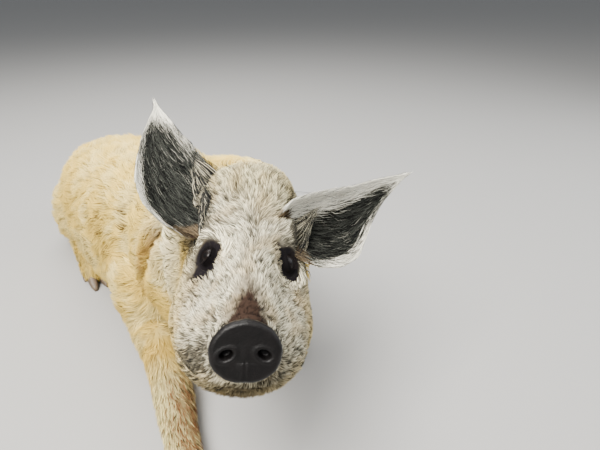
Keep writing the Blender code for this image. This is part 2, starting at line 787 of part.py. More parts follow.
torso = boolean(torso, "INTERSECT", [box("back", (-FAR, NECK_CUT + GAP / 2, -FAR), (FAR, FAR, FAR))])

snout = loft("snout", snout_rings(0.0, 20))
boolean(head, "DIFFERENCE", [loft("snout_clear", snout_rings(GAP, 20))])
boolean(snout, "DIFFERENCE", [nostril(-1.0), nostril(1.0)])

ears = {}
for side in ("right", "left"):
    ears[side] = loft("ear", ear_rings(side))
    for around in (head, neck):
        boolean(around, "DIFFERENCE", [swollen(ears[side], 3 * GAP)])

set_eye(head, -1.0, "right")
set_eye(head, 1.0, "left")

left_forefoot = loft("left_forefoot", path_rings(LEFT_FOREFOOT, LEG_COAT, 12))
hind_right = loft("hind_right", path_rings(mirrored(HIND_FOOT), LEG_COAT, 12))
hind_left = loft("hind_left", path_rings(HIND_FOOT, LEG_COAT, 12))
tail = loft("tail", path_rings(TAIL, 0.008, 12))
boolean(tail, "UNION", tail_locks(surface_of(tail), 3))
largest(tail)

forefoot_room = [swollen(left_forefoot, 2 * GAP) for _ in range(3)]
hind_room = [swollen(near, 2 * GAP) for near in (hind_right, hind_left, tail)]
make_feet("fore_right", RIGHT_FORELEG, forefoot)
make_feet("fore_left", LEFT_FOREFOOT, left_forefoot)
make_feet("hind_right", mirrored(HIND_FOOT), hind_right)
make_feet("hind_left", HIND_FOOT, hind_left)

claws = [ob for ob in PIG.objects if "claw_fore_left" in ob.name]
for around, room in zip((neck, torso, left_foreleg), forefoot_room):
    boolean(around, "DIFFERENCE", [room])
    for near in claws:
        boolean(around, "DIFFERENCE", [swollen(near, GAP)])
claws = [ob for ob in PIG.objects if "claw_hind" in ob.name]
for room in hind_room + [swollen(near, GAP) for near in claws]:
    boolean(torso, "DIFFERENCE", [room])

node("torso", largest(above_floor(torso)), "coat")
node("neck", largest(above_floor(neck)), "coat")
node("head", largest(head), "face")
node("snout", largest(snout), "snout")
for side in ("right", "left"):
    node(f"ear_{side}", largest(ears[side]), "ear")
node("foreleg_right", largest(above_floor(foreleg)), "coat")
node("forefoot_right", largest(above_floor(forefoot)), "face")
node("foreleg_left", largest(above_floor(left_foreleg)), "coat")
node("forefoot_left", largest(above_floor(left_forefoot)), "face")
node("hindleg_right", largest(above_floor(hind_right)), "face")
node("hindleg_left", largest(above_floor(hind_left)), "face")
node("tail", tail, "coat")

for left_over in list(WORK.objects):
    bpy.data.objects.remove(left_over)
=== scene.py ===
import math

import bmesh
import bpy
import numpy as np
from mathutils import Matrix, Vector
from mathutils.bvhtree import BVHTree
from mathutils.kdtree import KDTree


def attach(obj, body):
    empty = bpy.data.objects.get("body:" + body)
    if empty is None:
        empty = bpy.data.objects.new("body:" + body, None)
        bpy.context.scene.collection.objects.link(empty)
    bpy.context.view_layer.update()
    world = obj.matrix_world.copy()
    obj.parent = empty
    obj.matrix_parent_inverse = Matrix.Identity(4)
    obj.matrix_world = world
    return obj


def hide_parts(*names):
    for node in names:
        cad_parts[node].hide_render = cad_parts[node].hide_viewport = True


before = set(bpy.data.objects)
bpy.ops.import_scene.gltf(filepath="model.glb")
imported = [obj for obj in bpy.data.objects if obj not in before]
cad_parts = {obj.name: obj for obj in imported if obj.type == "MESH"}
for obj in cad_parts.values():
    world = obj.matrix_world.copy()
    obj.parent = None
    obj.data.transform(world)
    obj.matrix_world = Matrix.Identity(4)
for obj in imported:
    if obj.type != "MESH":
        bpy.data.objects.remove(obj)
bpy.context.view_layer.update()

# A young mangalica pig lying on its belly with its head raised. Metres, +Z up, head to -Y.
# The skin is made from the same sections as the solids, without their coat.

fullTurn = 2.0 * math.pi
farAway = 9.0

headPose = {"place": Vector((-0.183, -0.835, 0.420)), "yaw": -32.0, "pitch": -9.5, "roll": 9.0}

trunkSections = [  # along the body, half width, top, bottom, squareness
    (-0.375, 0.085, 0.330, 0.075, 2.0),
    (-0.350, 0.115, 0.380, 0.035, 2.1),
    (-0.300, 0.142, 0.402, 0.006, 2.2),
    (-0.200, 0.158, 0.390, -0.004, 2.3),
    (-0.060, 0.168, 0.360, -0.005, 2.4),
    (0.080, 0.171, 0.330, -0.005, 2.4),
    (0.190, 0.167, 0.310, -0.005, 2.4),
    (0.270, 0.150, 0.288, -0.004, 2.3),
    (0.330, 0.122, 0.258, 0.012, 2.1),
    (0.372, 0.082, 0.222, 0.050, 2.0),
    (0.395, 0.038, 0.180, 0.090, 2.0),
]
trunkWidest = 0.128
headSections = [  # behind the disc, half width, top, bottom, squareness, wider below
    (0.010, 0.029, 0.026, -0.034, 2.1, 0.00),
    (0.028, 0.040, 0.027, -0.071, 2.1, 0.24),
    (0.048, 0.054, 0.029, -0.089, 2.2, 0.36),
    (0.072, 0.065, 0.032, -0.098, 2.2, 0.38),
    (0.100, 0.072, 0.039, -0.104, 2.2, 0.38),
    (0.130, 0.076, 0.050, -0.107, 2.2, 0.37),
    (0.160, 0.079, 0.068, -0.109, 2.2, 0.36),
    (0.190, 0.082, 0.094, -0.110, 2.2, 0.31),
    (0.220, 0.085, 0.121, -0.110, 2.2, 0.20),
    (0.250, 0.086, 0.138, -0.110, 2.1, 0.08),
    (0.285, 0.082, 0.136, -0.106, 2.0, 0.00),
    (0.315, 0.066, 0.112, -0.080, 2.0, 0.00),
]
neckRings = [  # where, half width, half height, lean in degrees
    (-0.058, -0.634, 0.388, 0.088, 0.124, -10.0),
    (-0.036, -0.578, 0.343, 0.108, 0.154, -14.0),
    (-0.016, -0.510, 0.292, 0.121, 0.178, -17.0),
    (-0.004, -0.418, 0.253, 0.133, 0.186, -14.0),
    (0.000, -0.322, 0.224, 0.138, 0.184, -6.5),
    (0.000, -0.235, 0.205, 0.124, 0.160, 0.0),
]
swellings = [  # the thigh's and the shoulder's: where, and radii
    (0.120, 0.225, 0.105, 0.064, 0.125, 0.105),
    (0.118, -0.270, 0.120, 0.060, 0.105, 0.115),
]


# Rows of where, half width and half height
def pathOf(rows):
    return [(Vector(row[:3]), row[3], row[4]) for row in rows]


rightForeleg = pathOf([
    (-0.118, -0.270, 0.085, 0.050, 0.060),
    (-0.134, -0.340, 0.066, 0.045, 0.053),
    (-0.149, -0.420, 0.052, 0.038, 0.044),
    (-0.165, -0.490, 0.042, 0.034, 0.038),
    (-0.180, -0.540, 0.038, 0.033, 0.035),
    (-0.195, -0.590, 0.031, 0.028, 0.029),
    (-0.207, -0.635, 0.028, 0.026, 0.027),
    (-0.216, -0.672, 0.028, 0.029, 0.027),
    (-0.223, -0.700, 0.026, 0.026, 0.024),
])
leftForearm = pathOf([
    (0.120, -0.280, 0.085, 0.052, 0.058),
    (0.134, -0.350, 0.062, 0.047, 0.052),
    (0.134, -0.415, 0.048, 0.041, 0.043),
    (0.126, -0.475, 0.041, 0.036, 0.038),
    (0.104, -0.512, 0.037, 0.034, 0.035),
])
leftForefoot = pathOf([
    (0.104, -0.512, 0.037, 0.033, 0.034),
    (0.068, -0.500, 0.032, 0.028, 0.030),
    (0.050, -0.455, 0.029, 0.026, 0.027),
    (0.044, -0.415, 0.027, 0.028, 0.026),
    (0.042, -0.385, 0.025, 0.025, 0.023),
])
hindFoot = pathOf([
    (0.128, 0.250, 0.050, 0.036, 0.046),
    (0.146, 0.190, 0.038, 0.030, 0.036),
    (0.156, 0.130, 0.031, 0.027, 0.029),
    (0.162, 0.070, 0.028, 0.026, 0.027),
    (0.165, 0.030, 0.028, 0.029, 0.027),
    (0.166, 0.002, 0.026, 0.026, 0.024),
])
tailPath = pathOf([
    (0.000, 0.340, 0.205, 0.019, 0.019),
    (0.000, 0.385, 0.185, 0.017, 0.017),
    (0.004, 0.412, 0.145, 0.014, 0.014),
    (0.014, 0.420, 0.100, 0.012, 0.012),
    (0.028, 0.420, 0.062, 0.014, 0.014),
    (0.040, 0.418, 0.034, 0.012, 0.012),
    (0.046, 0.416, 0.018, 0.004, 0.004),
])


def mirrored(path):
    return [(Vector((-where.x, where.y, where.z)), half, tall) for where, half, tall in path]


legPaths = [rightForeleg, leftForearm + leftForefoot[1:], mirrored(hindFoot), hindFoot, tailPath]


def turnBy(degrees, axis):
    return Matrix.Rotation(math.radians(degrees), 4, axis)


headMatrix = (
    Matrix.Translation(headPose["place"])
    @ turnBy(headPose["yaw"], "Z") @ turnBy(headPose["pitch"], "X") @ turnBy(headPose["roll"], "Y")
)
headTurn = np.array(headMatrix.to_3x3())


def toHead(points):
    return (points - np.array(headMatrix.translation)) @ headTurn


def placed(points, matrix):
    return points @ np.array(matrix.to_3x3()).T + np.array(matrix.translation)


def linear(red, green, blue):
    value = np.array((red, green, blue), float) / 255.0
    return np.where(value <= 0.04045, value / 12.92, ((value + 0.055) / 1.055) ** 2.4)


def smooth(low, high, value):
    share = np.clip((value - low) / (high - low), 0.0, 1.0)
    return share * share * (3.0 - 2.0 * share)


def mix(first, second, share):
    return first + (second - first) * np.asarray(share)[..., None]


# A smooth random field from -1 to 1, the sum of waves that run all ways
def waves(points, size, seed):
    rng = np.random.default_rng(seed)
    total = np.zeros(len(points))
    for k in range(7):
        way = rng.normal(size=3)
        way *= fullTurn / (size * np.linalg.norm(way) * rng.uniform(0.7, 1.5))
        total += np.sin(points @ way + rng.uniform(0.0, fullTurn))
    return np.clip(total / 3.2, -1.0, 1.0)


def either(chosen, first, second):
    return np.where(chosen[:, None], first, second)


def unit(vectors):
    return vectors / (np.linalg.norm(vectors, axis=-1, keepdims=True) + 1e-12)


def norms(vectors):
    return np.linalg.norm(vectors, axis=1)


def hill(away, radius):
    return np.exp(-((away / radius) ** 2))


def section(halfWidth, up, down, squareness, count, pear=0.0):
    points = []
    for k in range(count):
        angle = fullTurn * (k + 0.5) / count
        across = math.copysign(abs(math.cos(angle)) ** (2.0 / squareness), math.cos(angle))
        upward = math.copysign(abs(math.sin(angle)) ** (2.0 / squareness), math.sin(angle))
        across *= 1.0 - pear * upward
        points.append((halfWidth * across, (up if upward > 0.0 else down) * upward))
    return points


# Joins rings of points by faces
def ringsMesh(mesh, rings):
    rows = [[mesh.verts.new(point) for point in ring] for ring in rings]
    for near, far in zip(rows, rows[1:]):
        for k in range(len(near)):
            after = (k + 1) % len(near)
            mesh.faces.new((near[k], near[after], far[after], far[k]))
    return rows


def loftMesh(rings):
    mesh = bmesh.new()
    rows = ringsMesh(mesh, rings)
    mesh.faces.new(rows[0])
    mesh.faces.new(rows[-1])
    bmesh.ops.recalc_face_normals(mesh, faces=mesh.faces)
    return mesh


def linked(name, data):
    made = bpy.data.objects.new(name, data)
    bpy.context.scene.collection.objects.link(made)
    return made


def finished(name, mesh):
    data = bpy.data.meshes.new(name)
    mesh.to_mesh(data)
    mesh.free()
    return linked(name, data)


def trunkLoft(count):
    rings = []
    for along, half, top, bottom, square in trunkSections:
        middle = max(trunkWidest, bottom + 0.04)
        outline = section(half, top - middle, middle - bottom, square, count)
        rings.append([Vector((x, along, middle + z)) for x, z in outline])
    return loftMesh(rings)


def headLoft(count):
    rings = []
    for back, half, top, bottom, square, pear in headSections:
        middle = bottom + 0.48 * (top - bottom)
        outline = section(half, top - middle, middle - bottom, square, count, pear)
        rings.append([headMatrix @ Vector((x, back, middle + z)) for x, z in outline])
    return loftMesh(rings)


def neckLoft(count):
    rings = []
    for k, (*where, half, tall, lean) in enumerate(neckRings):
        yaw = headPose["yaw"] * max(0.0, 1.0 - k / 2.5)
        turn = turnBy(yaw, "Z") @ turnBy(lean, "X")
        outline = section(half, tall, tall, 2.1, count)
        rings.append([Vector(where) + turn @ Vector((x, 0.0, z)) for x, z in outline])
    return loftMesh(rings)


# A leg or the tail; a leg's end is rounded over the roots of its claws
def pathLoft(path, count, rounded=False):
    rings = []
    for k, (where, half, tall) in enumerate(path):
        ahead = (path[min(k + 1, len(path) - 1)][0] - path[max(k - 1, 0)][0]).normalized()
        side = ahead.cross(Vector((0.0, 0.0, 1.0))) if abs(ahead.z) < 0.85 else Vector((1.0, 0.0, 0.0))
        side.normalize()
        up = side.cross(ahead)
        outline = section(half, tall, tall, 2.1, count)
        rings.append([where + x * side + z * up for x, z in outline])
    if rounded:
        last = rings[-1]
        for further, share in ((0.005, 0.93), (0.009, 0.80), (0.012, 0.58)):
            rings.append([where + further * ahead + share * (point - where) for point in last])
    return loftMesh(rings)


def swellingBall(where, radii):
    mesh = bmesh.new()
    bmesh.ops.create_uvsphere(mesh, u_segments=40, v_segments=20, radius=1.0)
    shape = Matrix.Translation(where) @ Matrix.Diagonal(radii).to_4x4()
    bmesh.ops.transform(mesh, matrix=shape, verts=mesh.verts)
    return mesh


def vertexPlaces(obj):
    places = np.empty(len(obj.data.vertices) * 3)
    obj.data.vertices.foreach_get("co", places)
    return places.reshape(-1, 3)


def vertexNormals(obj):
    normals = np.empty(len(obj.data.vertices) * 3)
    obj.data.vertex_normals.foreach_get("vector", normals)
    return normals.reshape(-1, 3)


def setPlaces(obj, places):
    obj.data.vertices.foreach_set("co", places.ravel())
    obj.data.update()


def treeOf(obj):
    mesh = bmesh.new()
    mesh.from_mesh(obj.data)
    tree = BVHTree.FromBMesh(mesh)
    mesh.free()
    return tree


# The skin
skinSettings = {"voxel": 0.0045, "relax": 4, "floor": 0.0006, "fineBack": 0.300}


def makeSkin():
    forms = [trunkLoft(48), neckLoft(48), headLoft(64)]
    forms += [pathLoft(leftForearm, 32), pathLoft(tailPath, 32)]
    forms += [pathLoft(path, 32, True) for path in (rightForeleg, leftForefoot, hindFoot, mirrored(hindFoot))]
    for x, y, z, *radii in swellings:
        for side in (-1.0, 1.0):
            forms.append(swellingBall((side * x, y, z), radii))
    whole = bmesh.new()
    for form in forms:
        data = bpy.data.meshes.new("form")
        form.to_mesh(data)
        form.free()
        whole.from_mesh(data)
        bpy.data.meshes.remove(data)
    made = finished("skin", whole)
    remesh = made.modifiers.new("skin", "REMESH")
    remesh.mode = "VOXEL"
    remesh.voxel_size = skinSettings["voxel"]
    relax = made.modifiers.new("relax", "SMOOTH")
    relax.factor = 0.5
    relax.iterations = skinSettings["relax"]
    shape = bpy.data.meshes.new_from_object(
        made.evaluated_get(bpy.context.evaluated_depsgraph_get())
    )
    made.modifiers.clear()
    made.data = shape
    # The head's faces are halved, for the forms of the face
    mesh = bmesh.new()
    mesh.from_mesh(shape)
    mesh.verts.ensure_lookup_table()
    local = toHead(np.array([v.co for v in mesh.verts]))
    inHead = (local[:, 1] < skinSettings["fineBack"]) & (local[:, 2] > -0.17) & (abs(local[:, 0]) < 0.16)
    edges = [e for e in mesh.edges if inHead[e.verts[0].index] and inHead[e.verts[1].index]]
    bmesh.ops.subdivide_edges(mesh, edges=edges, cuts=1, use_grid_fill=True, smooth=0.6)
    mesh.to_mesh(shape)
    mesh.free()
    return made


eyes = {"place": (0.0490, 0.166, 0.027), "radius": 0.0125}
mouth = {"up": -0.060, "middle": 0.085, "turn": 117.0, "lift": 0.012}


def mouthLine(tree):
    turn = headMatrix.to_3x3()
    points = []
    for degrees in np.linspace(-mouth["turn"], mouth["turn"], 61):
        angle = math.radians(degrees)
        out = Vector((math.sin(angle), -math.cos(angle), 0.0))
        up = mouth["up"] + mouth["lift"] * (degrees / mouth["turn"]) ** 4
        middle = Vector((0.0, mouth["middle"], up))
        hit, _, _, _ = tree.ray_cast(headMatrix @ (middle + 0.3 * out), turn @ -out)
        points.append(hit)
    return np.array(points)


# Rounded rises and hollows of the face: where in the head, radius and height
faceForms = [
    ((0.056, 0.152, 0.024), 0.021, -0.0060),
    ((0.068, 0.146, 0.000), 0.022, -0.0035),
    ((0.046, 0.194, 0.060), 0.020, 0.0110),
    ((0.026, 0.162, 0.052), 0.016, 0.0025),
    ((0.080, 0.150, -0.055), 0.042, 0.0115),
    ((0.084, 0.178, 0.006), 0.030, 0.0065),
    ((0.078, 0.230, 0.052), 0.026, -0.0065),
    ((0.044, 0.112, 0.014), 0.028, -0.0065),
    ((0.018, 0.130, 0.046), 0.018, 0.0025),
    ((0.0, 0.150, 0.066), 0.022, -0.0045),
    ((0.030, 0.246, 0.118), 0.024, 0.0050),
    ((0.040, 0.048, -0.006), 0.020, -0.0030),
    ((0.066, 0.080, -0.040), 0.026, 0.0040),
    ((0.0, 0.062, -0.100), 0.024, 0.0030),
    ((0.0, 0.205, 0.105), 0.020, -0.0030),
    ((0.040, 0.226, 0.112), 0.026, 0.0035),
]
neckFolds = [(0.272, 0.011, -0.0080), (0.302, 0.012, 0.0055), (0.332, 0.010, -0.0050), (0.400, 0.014, 0.0045)]
# The crease behind the right cheek, and the dirty curls of the right flank
creaseMarks = [
    (-0.131, -0.473, 0.374), (-0.133, -0.441, 0.343), (-0.142, -0.422, 0.305), (-0.153, -0.409, 0.269),
    (-0.154, -0.372, 0.215),
]
curlMarks = [
    (-0.129, -0.348, 0.367), (-0.127, -0.272, 0.320), (-0.143, -0.279, 0.291), (-0.152, -0.166, 0.283),
    (-0.170, -0.180, 0.250), (-0.190, -0.075, 0.177), (-0.181, -0.081, 0.132), (-0.167, -0.197, 0.218),
    (0.150, -0.190, 0.260), (0.172, 0.020, 0.190), (0.160, -0.330, 0.240), (0.120, 0.160, 0.270),
]


def awayFrom(local, where, side):
    return norms(local - np.array((side * where[0], where[1], where[2])))


# How far each point is along the line from start to end, and its way off that line
def offLine(points, start, end):
    way = end - start
    t = np.clip((points - start) @ way / (way @ way), 0.0, 1.0)
    return t, points - (start + t[:, None] * way)


def lineAway(points, line):
    best = np.full(len(points), farAway)
    for start, end in zip(line, line[1:]):
        best = np.minimum(best, norms(offLine(points, start, end)[1]))
    return best


def snapped(tree, points):
    return np.array([tree.find_nearest(Vector(point))[0] for point in points])


# Lines that run from behind each eye to the ear
def wrinkles(local):
    off = np.stack([abs(local[:, 0]), local[:, 1], local[:, 2]], 1) - np.array((0.0640, 0.178, 0.030))
    way = unit(np.array((0.040, 0.080, -0.014)))
    cross = unit(np.cross(way, np.array((0.80, -0.30, 0.50))))
    along, across = off @ way, off @ cross
    turn = fullTurn * (across - 0.25 * along) / 0.0085
    lines = 0.5 + 0.5 * np.sin(turn + 1.5 * waves(local, 0.03, 23))
    near = smooth(0.000, 0.012, along) * smooth(0.100, 0.065, along) * hill(across, 0.024)
    return near * (0.25 + 0.75 * smooth(0.3, 0.8, lines)) * (norms(off) < 0.11)


def sculpt(skin):
    places = vertexPlaces(skin)
    normals = vertexNormals(skin)
    local = toHead(places)
    rise = np.zeros(len(places))
    for where, radius, height in faceForms:
        for side in (-1.0, 1.0) if where[0] else (1.0,):
            rise += height * hill(awayFrom(local, where, side), radius)
    # Small folds across the top of the nose behind the disc
    x, y, z = local.T
    onNose = smooth(0.072, 0.050, y) * smooth(0.016, 0.026, y) * smooth(0.0, 0.02, z)
    rise += onNose * 0.0012 * np.sin(fullTurn * y / 0.0125)
    # Folds of the neck behind the cheek
    lower = smooth(0.06, -0.04, z) * smooth(-0.40, -0.20, z)
    bend = y + 0.10 * z
    for back, width, height in neckFolds:
        rise += lower * height * hill(bend - back, width)
    rise -= 0.0022 * wrinkles(local)
    tree = treeOf(skin)
    crease = lineAway(places, snapped(tree, creaseMarks))
    rise += -0.011 * hill(crease, 0.008) + 0.006 * hill(crease - 0.024, 0.012)
    line = mouthLine(tree)
    near = np.where((y < 0.16) & (z < -0.03) & (z > -0.13))[0]
    away = np.full(len(places), 1.0)
    for start in range(0, len(near), 4000):
        part = near[start:start + 4000]
        away[part] = np.linalg.norm(places[part][:, None] - line[None], axis=2).min(1)
    rise += -0.0045 * hill(away, 0.0026) + 0.0022 * hill(away - 0.0062, 0.0034)
    places += normals * rise[:, None]
    places[:, 2] = np.maximum(places[:, 2], skinSettings["floor"])
    setPlaces(skin, places)
    return away


skin = makeSkin()
mouthAway = sculpt(skin)
skin.data.shade_smooth()
skinTree = treeOf(skin)
creaseLine, curlSpots = snapped(skinTree, creaseMarks), snapped(skinTree, curlMarks)
print("skin", len(skin.data.polygons))


def onSkin(points):
    found = [skinTree.find_nearest(Vector(point))[:2] for point in points]
    return np.array([spot for spot, _ in found]), np.array([normal for _, normal in found])


# Where each point of the hide is: how far it belongs to the head and to each leg or the tail
def legShares(points):
    shares, ways, spots = [], [], []
    for path in legPaths:
        best = np.full(len(points), farAway)
        way = np.zeros((len(points), 3))
        spot = np.zeros(len(points))
        for k, ((start, halfA, tallA), (end, halfB, tallB)) in enumerate(zip(path, path[1:])):
            t, off = offLine(points, np.array(start), np.array(end))
            away = norms(off) - 0.5 * (halfA + tallA) * (1.0 - t) - 0.5 * (halfB + tallB) * t
            closer = away < best
            best[closer] = away[closer]
            way[closer] = unit(np.array(end - start))
            spot[closer] = (k + t[closer]) / (len(path) - 1)
        start, end = (0.12, 0.28) if path is tailPath else (0.08, 0.34)
        shares.append(smooth(0.014, 0.005, best) * smooth(start, end, spot))
        ways.append(way)
        spots.append(spot)
    return np.array(shares), np.array(ways), np.array(spots)


def headShare(points):
    local = toHead(points)
    inside = (abs(local[:, 0]) < 0.15) & (local[:, 2] > -0.17)
    return np.where(inside, smooth(0.300, 0.235, local[:, 1] + 0.25 * np.minimum(local[:, 2], 0.0)), 0.0)


tones = {
    "cream": linear(236, 205, 108),
    "pale": linear(242, 226, 160),
    "ochre": linear(196, 158, 72),
    "umber": linear(118, 80, 42),
    "ivory": linear(255, 245, 212),
    "pepper": linear(24, 22, 21),
    "dark": linear(13, 11, 12),
    "brown": linear(55, 41, 33),
    "rust": linear(118, 74, 46),
    "fawn": linear(146, 100, 66),
    "dirt": linear(70, 48, 26),
    # Dark lips with painted shade under the chin
    "lipAndChinShade": linear(70, 58, 40),
}


# A dark oval with pointed ends lies round each eye, from above its inner end down to the cheek
def eyeDark(local):
    dark = np.zeros(len(local))
    for side in (-1.0, 1.0):
        out = unit(np.array((side * 0.60, -0.58, 0.55)))
        axis = unit(np.array((side * 0.56, -0.10, -0.82)))
        cross = np.cross(out, axis)
        off = local - np.array((side * 0.0555, 0.1535, 0.0275))
        shape = (abs(off @ axis) / 0.038) ** 1.4 + abs(off @ cross) / 0.0215
        shape = shape * (1.0 + 0.16 * waves(local, 0.020, 21) + 0.12 * waves(local, 0.008, 22))
        dark = np.maximum(dark, smooth(1.28, 0.78, shape) * (abs(off @ out) < 0.03))
        dark = np.maximum(dark, smooth(0.0275, 0.0195, awayFrom(local, eyes["place"], side)))
    return dark


def noseBrown(local):
    back = local[:, 1]
    half = 0.030 * np.clip(1.0 - (back - 0.012) / 0.082, 0.0, 1.0)
    inside = smooth(0.013, -0.009, abs(local[:, 0]) - half + 0.003 * waves(local, 0.012, 15))
    return inside * smooth(0.0, 0.012, local[:, 2]) * smooth(0.108, 0.082, back)


def ball(local, where, radius):
    near = np.zeros(len(local))
    for side in (-1.0, 1.0):
        near = np.maximum(near, hill(awayFrom(local, where, side), radius))
    return near


templeLine = np.array([
    (0.088, 0.268, 0.104), (0.077, 0.240, 0.084), (0.064, 0.210, 0.072), (0.056, 0.190, 0.062),
])


# Pairs of dark spots of the face: where, radius and strength
templeSpots = [
    ((0.088, 0.236, 0.052), 0.030, 1.0),
    ((0.070, 0.214, 0.082), 0.029, 1.0),
    ((0.080, 0.200, 0.044), 0.020, 0.90),
]
# Beside the disc the dark hair is partly its own and partly painted shade
muzzleSpots = [((0.048, 0.034, -0.014), 0.020, 1.0), ((0.052, 0.040, -0.044), 0.030, 1.0)]


def strongest(local, spots):
    return np.max([strength * ball(local, where, radius) for where, radius, strength in spots], axis=0)


# Lays tones over a first one, each by its share
def painted(colour, *layers):
    for tone, share in layers:
        colour = mix(colour, tone, share)
    return colour


# Cream, with stains below and in front, painted shade along the crease, and dirt in the curls
def bodyColour(points, patch):
    broad = waves(points, 0.20, 4)
    low = smooth(0.30, 0.04, points[:, 2])
    front = smooth(-0.10, -0.40, points[:, 1])
    stain = np.clip((0.24 + 0.36 * broad + 0.34 * patch) * (0.45 + 0.55 * low) + 0.42 * front * low, 0.0, 1.0)
    crease = lineAway(points, creaseLine)
    curl = np.max([hill(norms(points - spot), 0.0155) for spot in curlSpots], axis=0)
    return painted(
        tones["cream"],
        (tones["pale"], 0.65 * smooth(-0.3, 0.9, -patch - 0.5 * broad)),
        (tones["ochre"], 0.20 + 0.38 * stain),
        (tones["umber"], 0.30 * smooth(0.62, 1.0, waves(points, 0.03, 6)) * low),
        # Ochre and a dark umber line along the neck's crease: painted shade of the fold
        (tones["ochre"], 0.55 * hill(crease, 0.034)),
        (tones["umber"], 0.70 * hill(crease, 0.0085)),
        (tones["dirt"], 0.96 * smooth(0.25, 0.75, curl) * smooth(-0.7, 0.0, waves(points, 0.014, 7))),
    )


# Ivory, warm at the cheeks and the jaw, with the dark eyes and the brown of the nose, dark lips with painted
# shade under the chin, and painted shade under the jaw
def faceColour(local, patch, jaw, dark, brown):
    x, y, z = local.T
    cheeks = smooth(0.068, 0.084, x) + 1.3 * smooth(0.060, 0.088, -x)
    warm = 0.55 * smooth(0.16, 0.26, y) * smooth(0.05, -0.03, z) + 0.45 * cheeks * smooth(0.05, 0.0, z)
    # Under the disc: the dark lips, and painted shade under the chin
    lipAndChinShade = hill(x, 0.042) * smooth(-0.040, -0.055, z) * smooth(0.062, 0.036, y)
    atDisc = smooth(0.021, 0.015, y) * smooth(0.012, 0.020, z)
    nose = mix(tones["brown"], tones["fawn"], 0.40 * smooth(0.9, 0.3, brown))
    return painted(
        tones["ivory"],
        (tones["pale"], 0.5 * smooth(0.07, 0.12, z)),
        (mix(tones["cream"], tones["ochre"], 0.25), np.clip(warm + 0.75 * jaw, 0.0, 0.95)),
        (tones["ochre"], 0.40 * (jaw + 0.3 * warm) * smooth(-0.2, 0.8, patch)),
        (tones["ochre"], 0.34 * smooth(-0.1, 1.0, waves(local, 0.030, 16)) * (1.0 - jaw)),
        (tones["ochre"], 0.55 * ball(local, (0.064, 0.136, -0.002), 0.013)),
        (tones["lipAndChinShade"], 0.80 * lipAndChinShade),
        # Painted shade under the jaw: darker towards the bottom of the head
        (tones["umber"], 0.20 * smooth(-0.080, -0.115, z)),
        (tones["dark"], 0.97 * dark),
        (nose, brown * (1.0 - 0.10 * atDisc)),
    )


# How much of the hair is black
def pepperShare(local, patch, jaw, behind, head):
    x, y, z = local.T
    line = lineAway(np.stack([abs(x), y, z], 1), templeLine)
    temple = np.maximum(hill(line, 0.019), strongest(local, templeSpots))
    wrinkle = wrinkles(local)
    pepper = 0.12 + 0.10 * patch + 0.20 * smooth(-0.2, 1.0, waves(local, 0.018, 17))
    # Along the wrinkles the dark hair is partly dark streaks of hair and partly painted shade in the grooves
    pepper += 0.78 * temple + 0.75 * wrinkle - 0.05 * jaw
    pepper += 0.50 * ball(local, (0.086, 0.214, 0.024), 0.028)
    pepper += 0.40 * ball(local, (0.062, 0.176, 0.052), 0.018)
    pepper += (0.62 - 0.26 * np.sign(x)) * strongest(local, muzzleSpots)
    pepper -= 0.20 * smooth(0.16, 0.24, y) * smooth(0.02, -0.03, z)
    shaded = 0.60 * wrinkle + 0.14 * behind + 0.72 * temple
    shaded += 0.80 * ball(local, (0.098, 0.252, 0.014), 0.040)
    return 0.02 + (pepper - 0.02) * head + shaded * (1.0 - head)


# The markings: the hair's colour, how dark the skin shows, and how much pepper is in the coat
def markings(points):
    local = toHead(points)
    x, y, z = local.T
    head = headShare(points)
    legs, _, spots = legShares(points)
    patch = waves(points, 0.065, 5)
    jaw = smooth(-0.035, -0.090, z)
    dark = eyeDark(local)
    brown = noseBrown(local)
    behind = smooth(0.40, 0.28, y) * smooth(0.05, -0.05, x + 0.04 * patch) * smooth(0.02, 0.06, abs(x))
    behind *= smooth(-0.16, -0.10, z) * smooth(0.10, 0.05, z)
    body = mix(bodyColour(points, patch), mix(tones["ivory"], tones["pale"], 0.3), 0.85 * behind)
    # The forelegs: ivory above, pale at the wrist, rust and grey streaks on the inner side below
    foreleg = legs[:2].max(0)
    isRight = legs[0] > legs[1]
    spot = np.where(isRight, spots[0], spots[1])
    path = np.array([where for where, _, _ in rightForeleg])
    middleX = np.interp(-points[:, 1], -path[:, 1], path[:, 0])
    inner = isRight * smooth(-0.028, 0.010, points[:, 0] - middleX)
    streak = smooth(-0.35, 0.35, waves(points * np.array((1.0, 0.22, 1.0)), 0.013, 8))
    below = foreleg * smooth(0.30, 0.48, spot)
    rust = below * (0.85 * inner * (0.40 + 0.60 * streak) + 0.10 * isRight)
    foot, footSpot = legs[:4].max(0), spots[legs[:4].argmax(0), np.arange(len(points))]
    pepper = pepperShare(local, patch, jaw, behind, head)
    return {
        "colour": painted(
            body,
            (faceColour(local, patch, jaw, dark, brown), head),
            (tones["pale"], 0.85 * foreleg * smooth(0.30, 0.40, spot)),
            (tones["ochre"], foreleg * smooth(0.52, 0.20, spot) * (0.22 + 0.26 * streak)),
            (tones["rust"], 0.60 * rust),
        ),
        "head": head,
        "dark": dark * head,
        "brown": brown * head,
        "pepper": np.clip(pepper * (1.0 - dark * head) + 0.16 * below * inner, 0.0, 1.0),
        "rust": rust,
        "jaw": jaw * head,
        "behind": behind,
        "leg": legs.max(0),
        "tail": legs[4],
        "end": 0.9 * legs[4] * smooth(0.40, 0.75, spots[4]) + 0.6 * foot * smooth(0.80, 0.96, footSpot),
    }


def material(name, roughness, specular=0.35, coat=0.0, coatRough=0.1):
    made = bpy.data.materials.new(name)
    made.use_nodes = True
    shader = made.node_tree.nodes["Principled BSDF"]
    shader.inputs["Roughness"].default_value = roughness
    shader.inputs["Specular IOR Level"].default_value = specular
    shader.inputs["Coat Weight"].default_value = coat
    shader.inputs["Coat Roughness"].default_value = coatRough
    return made


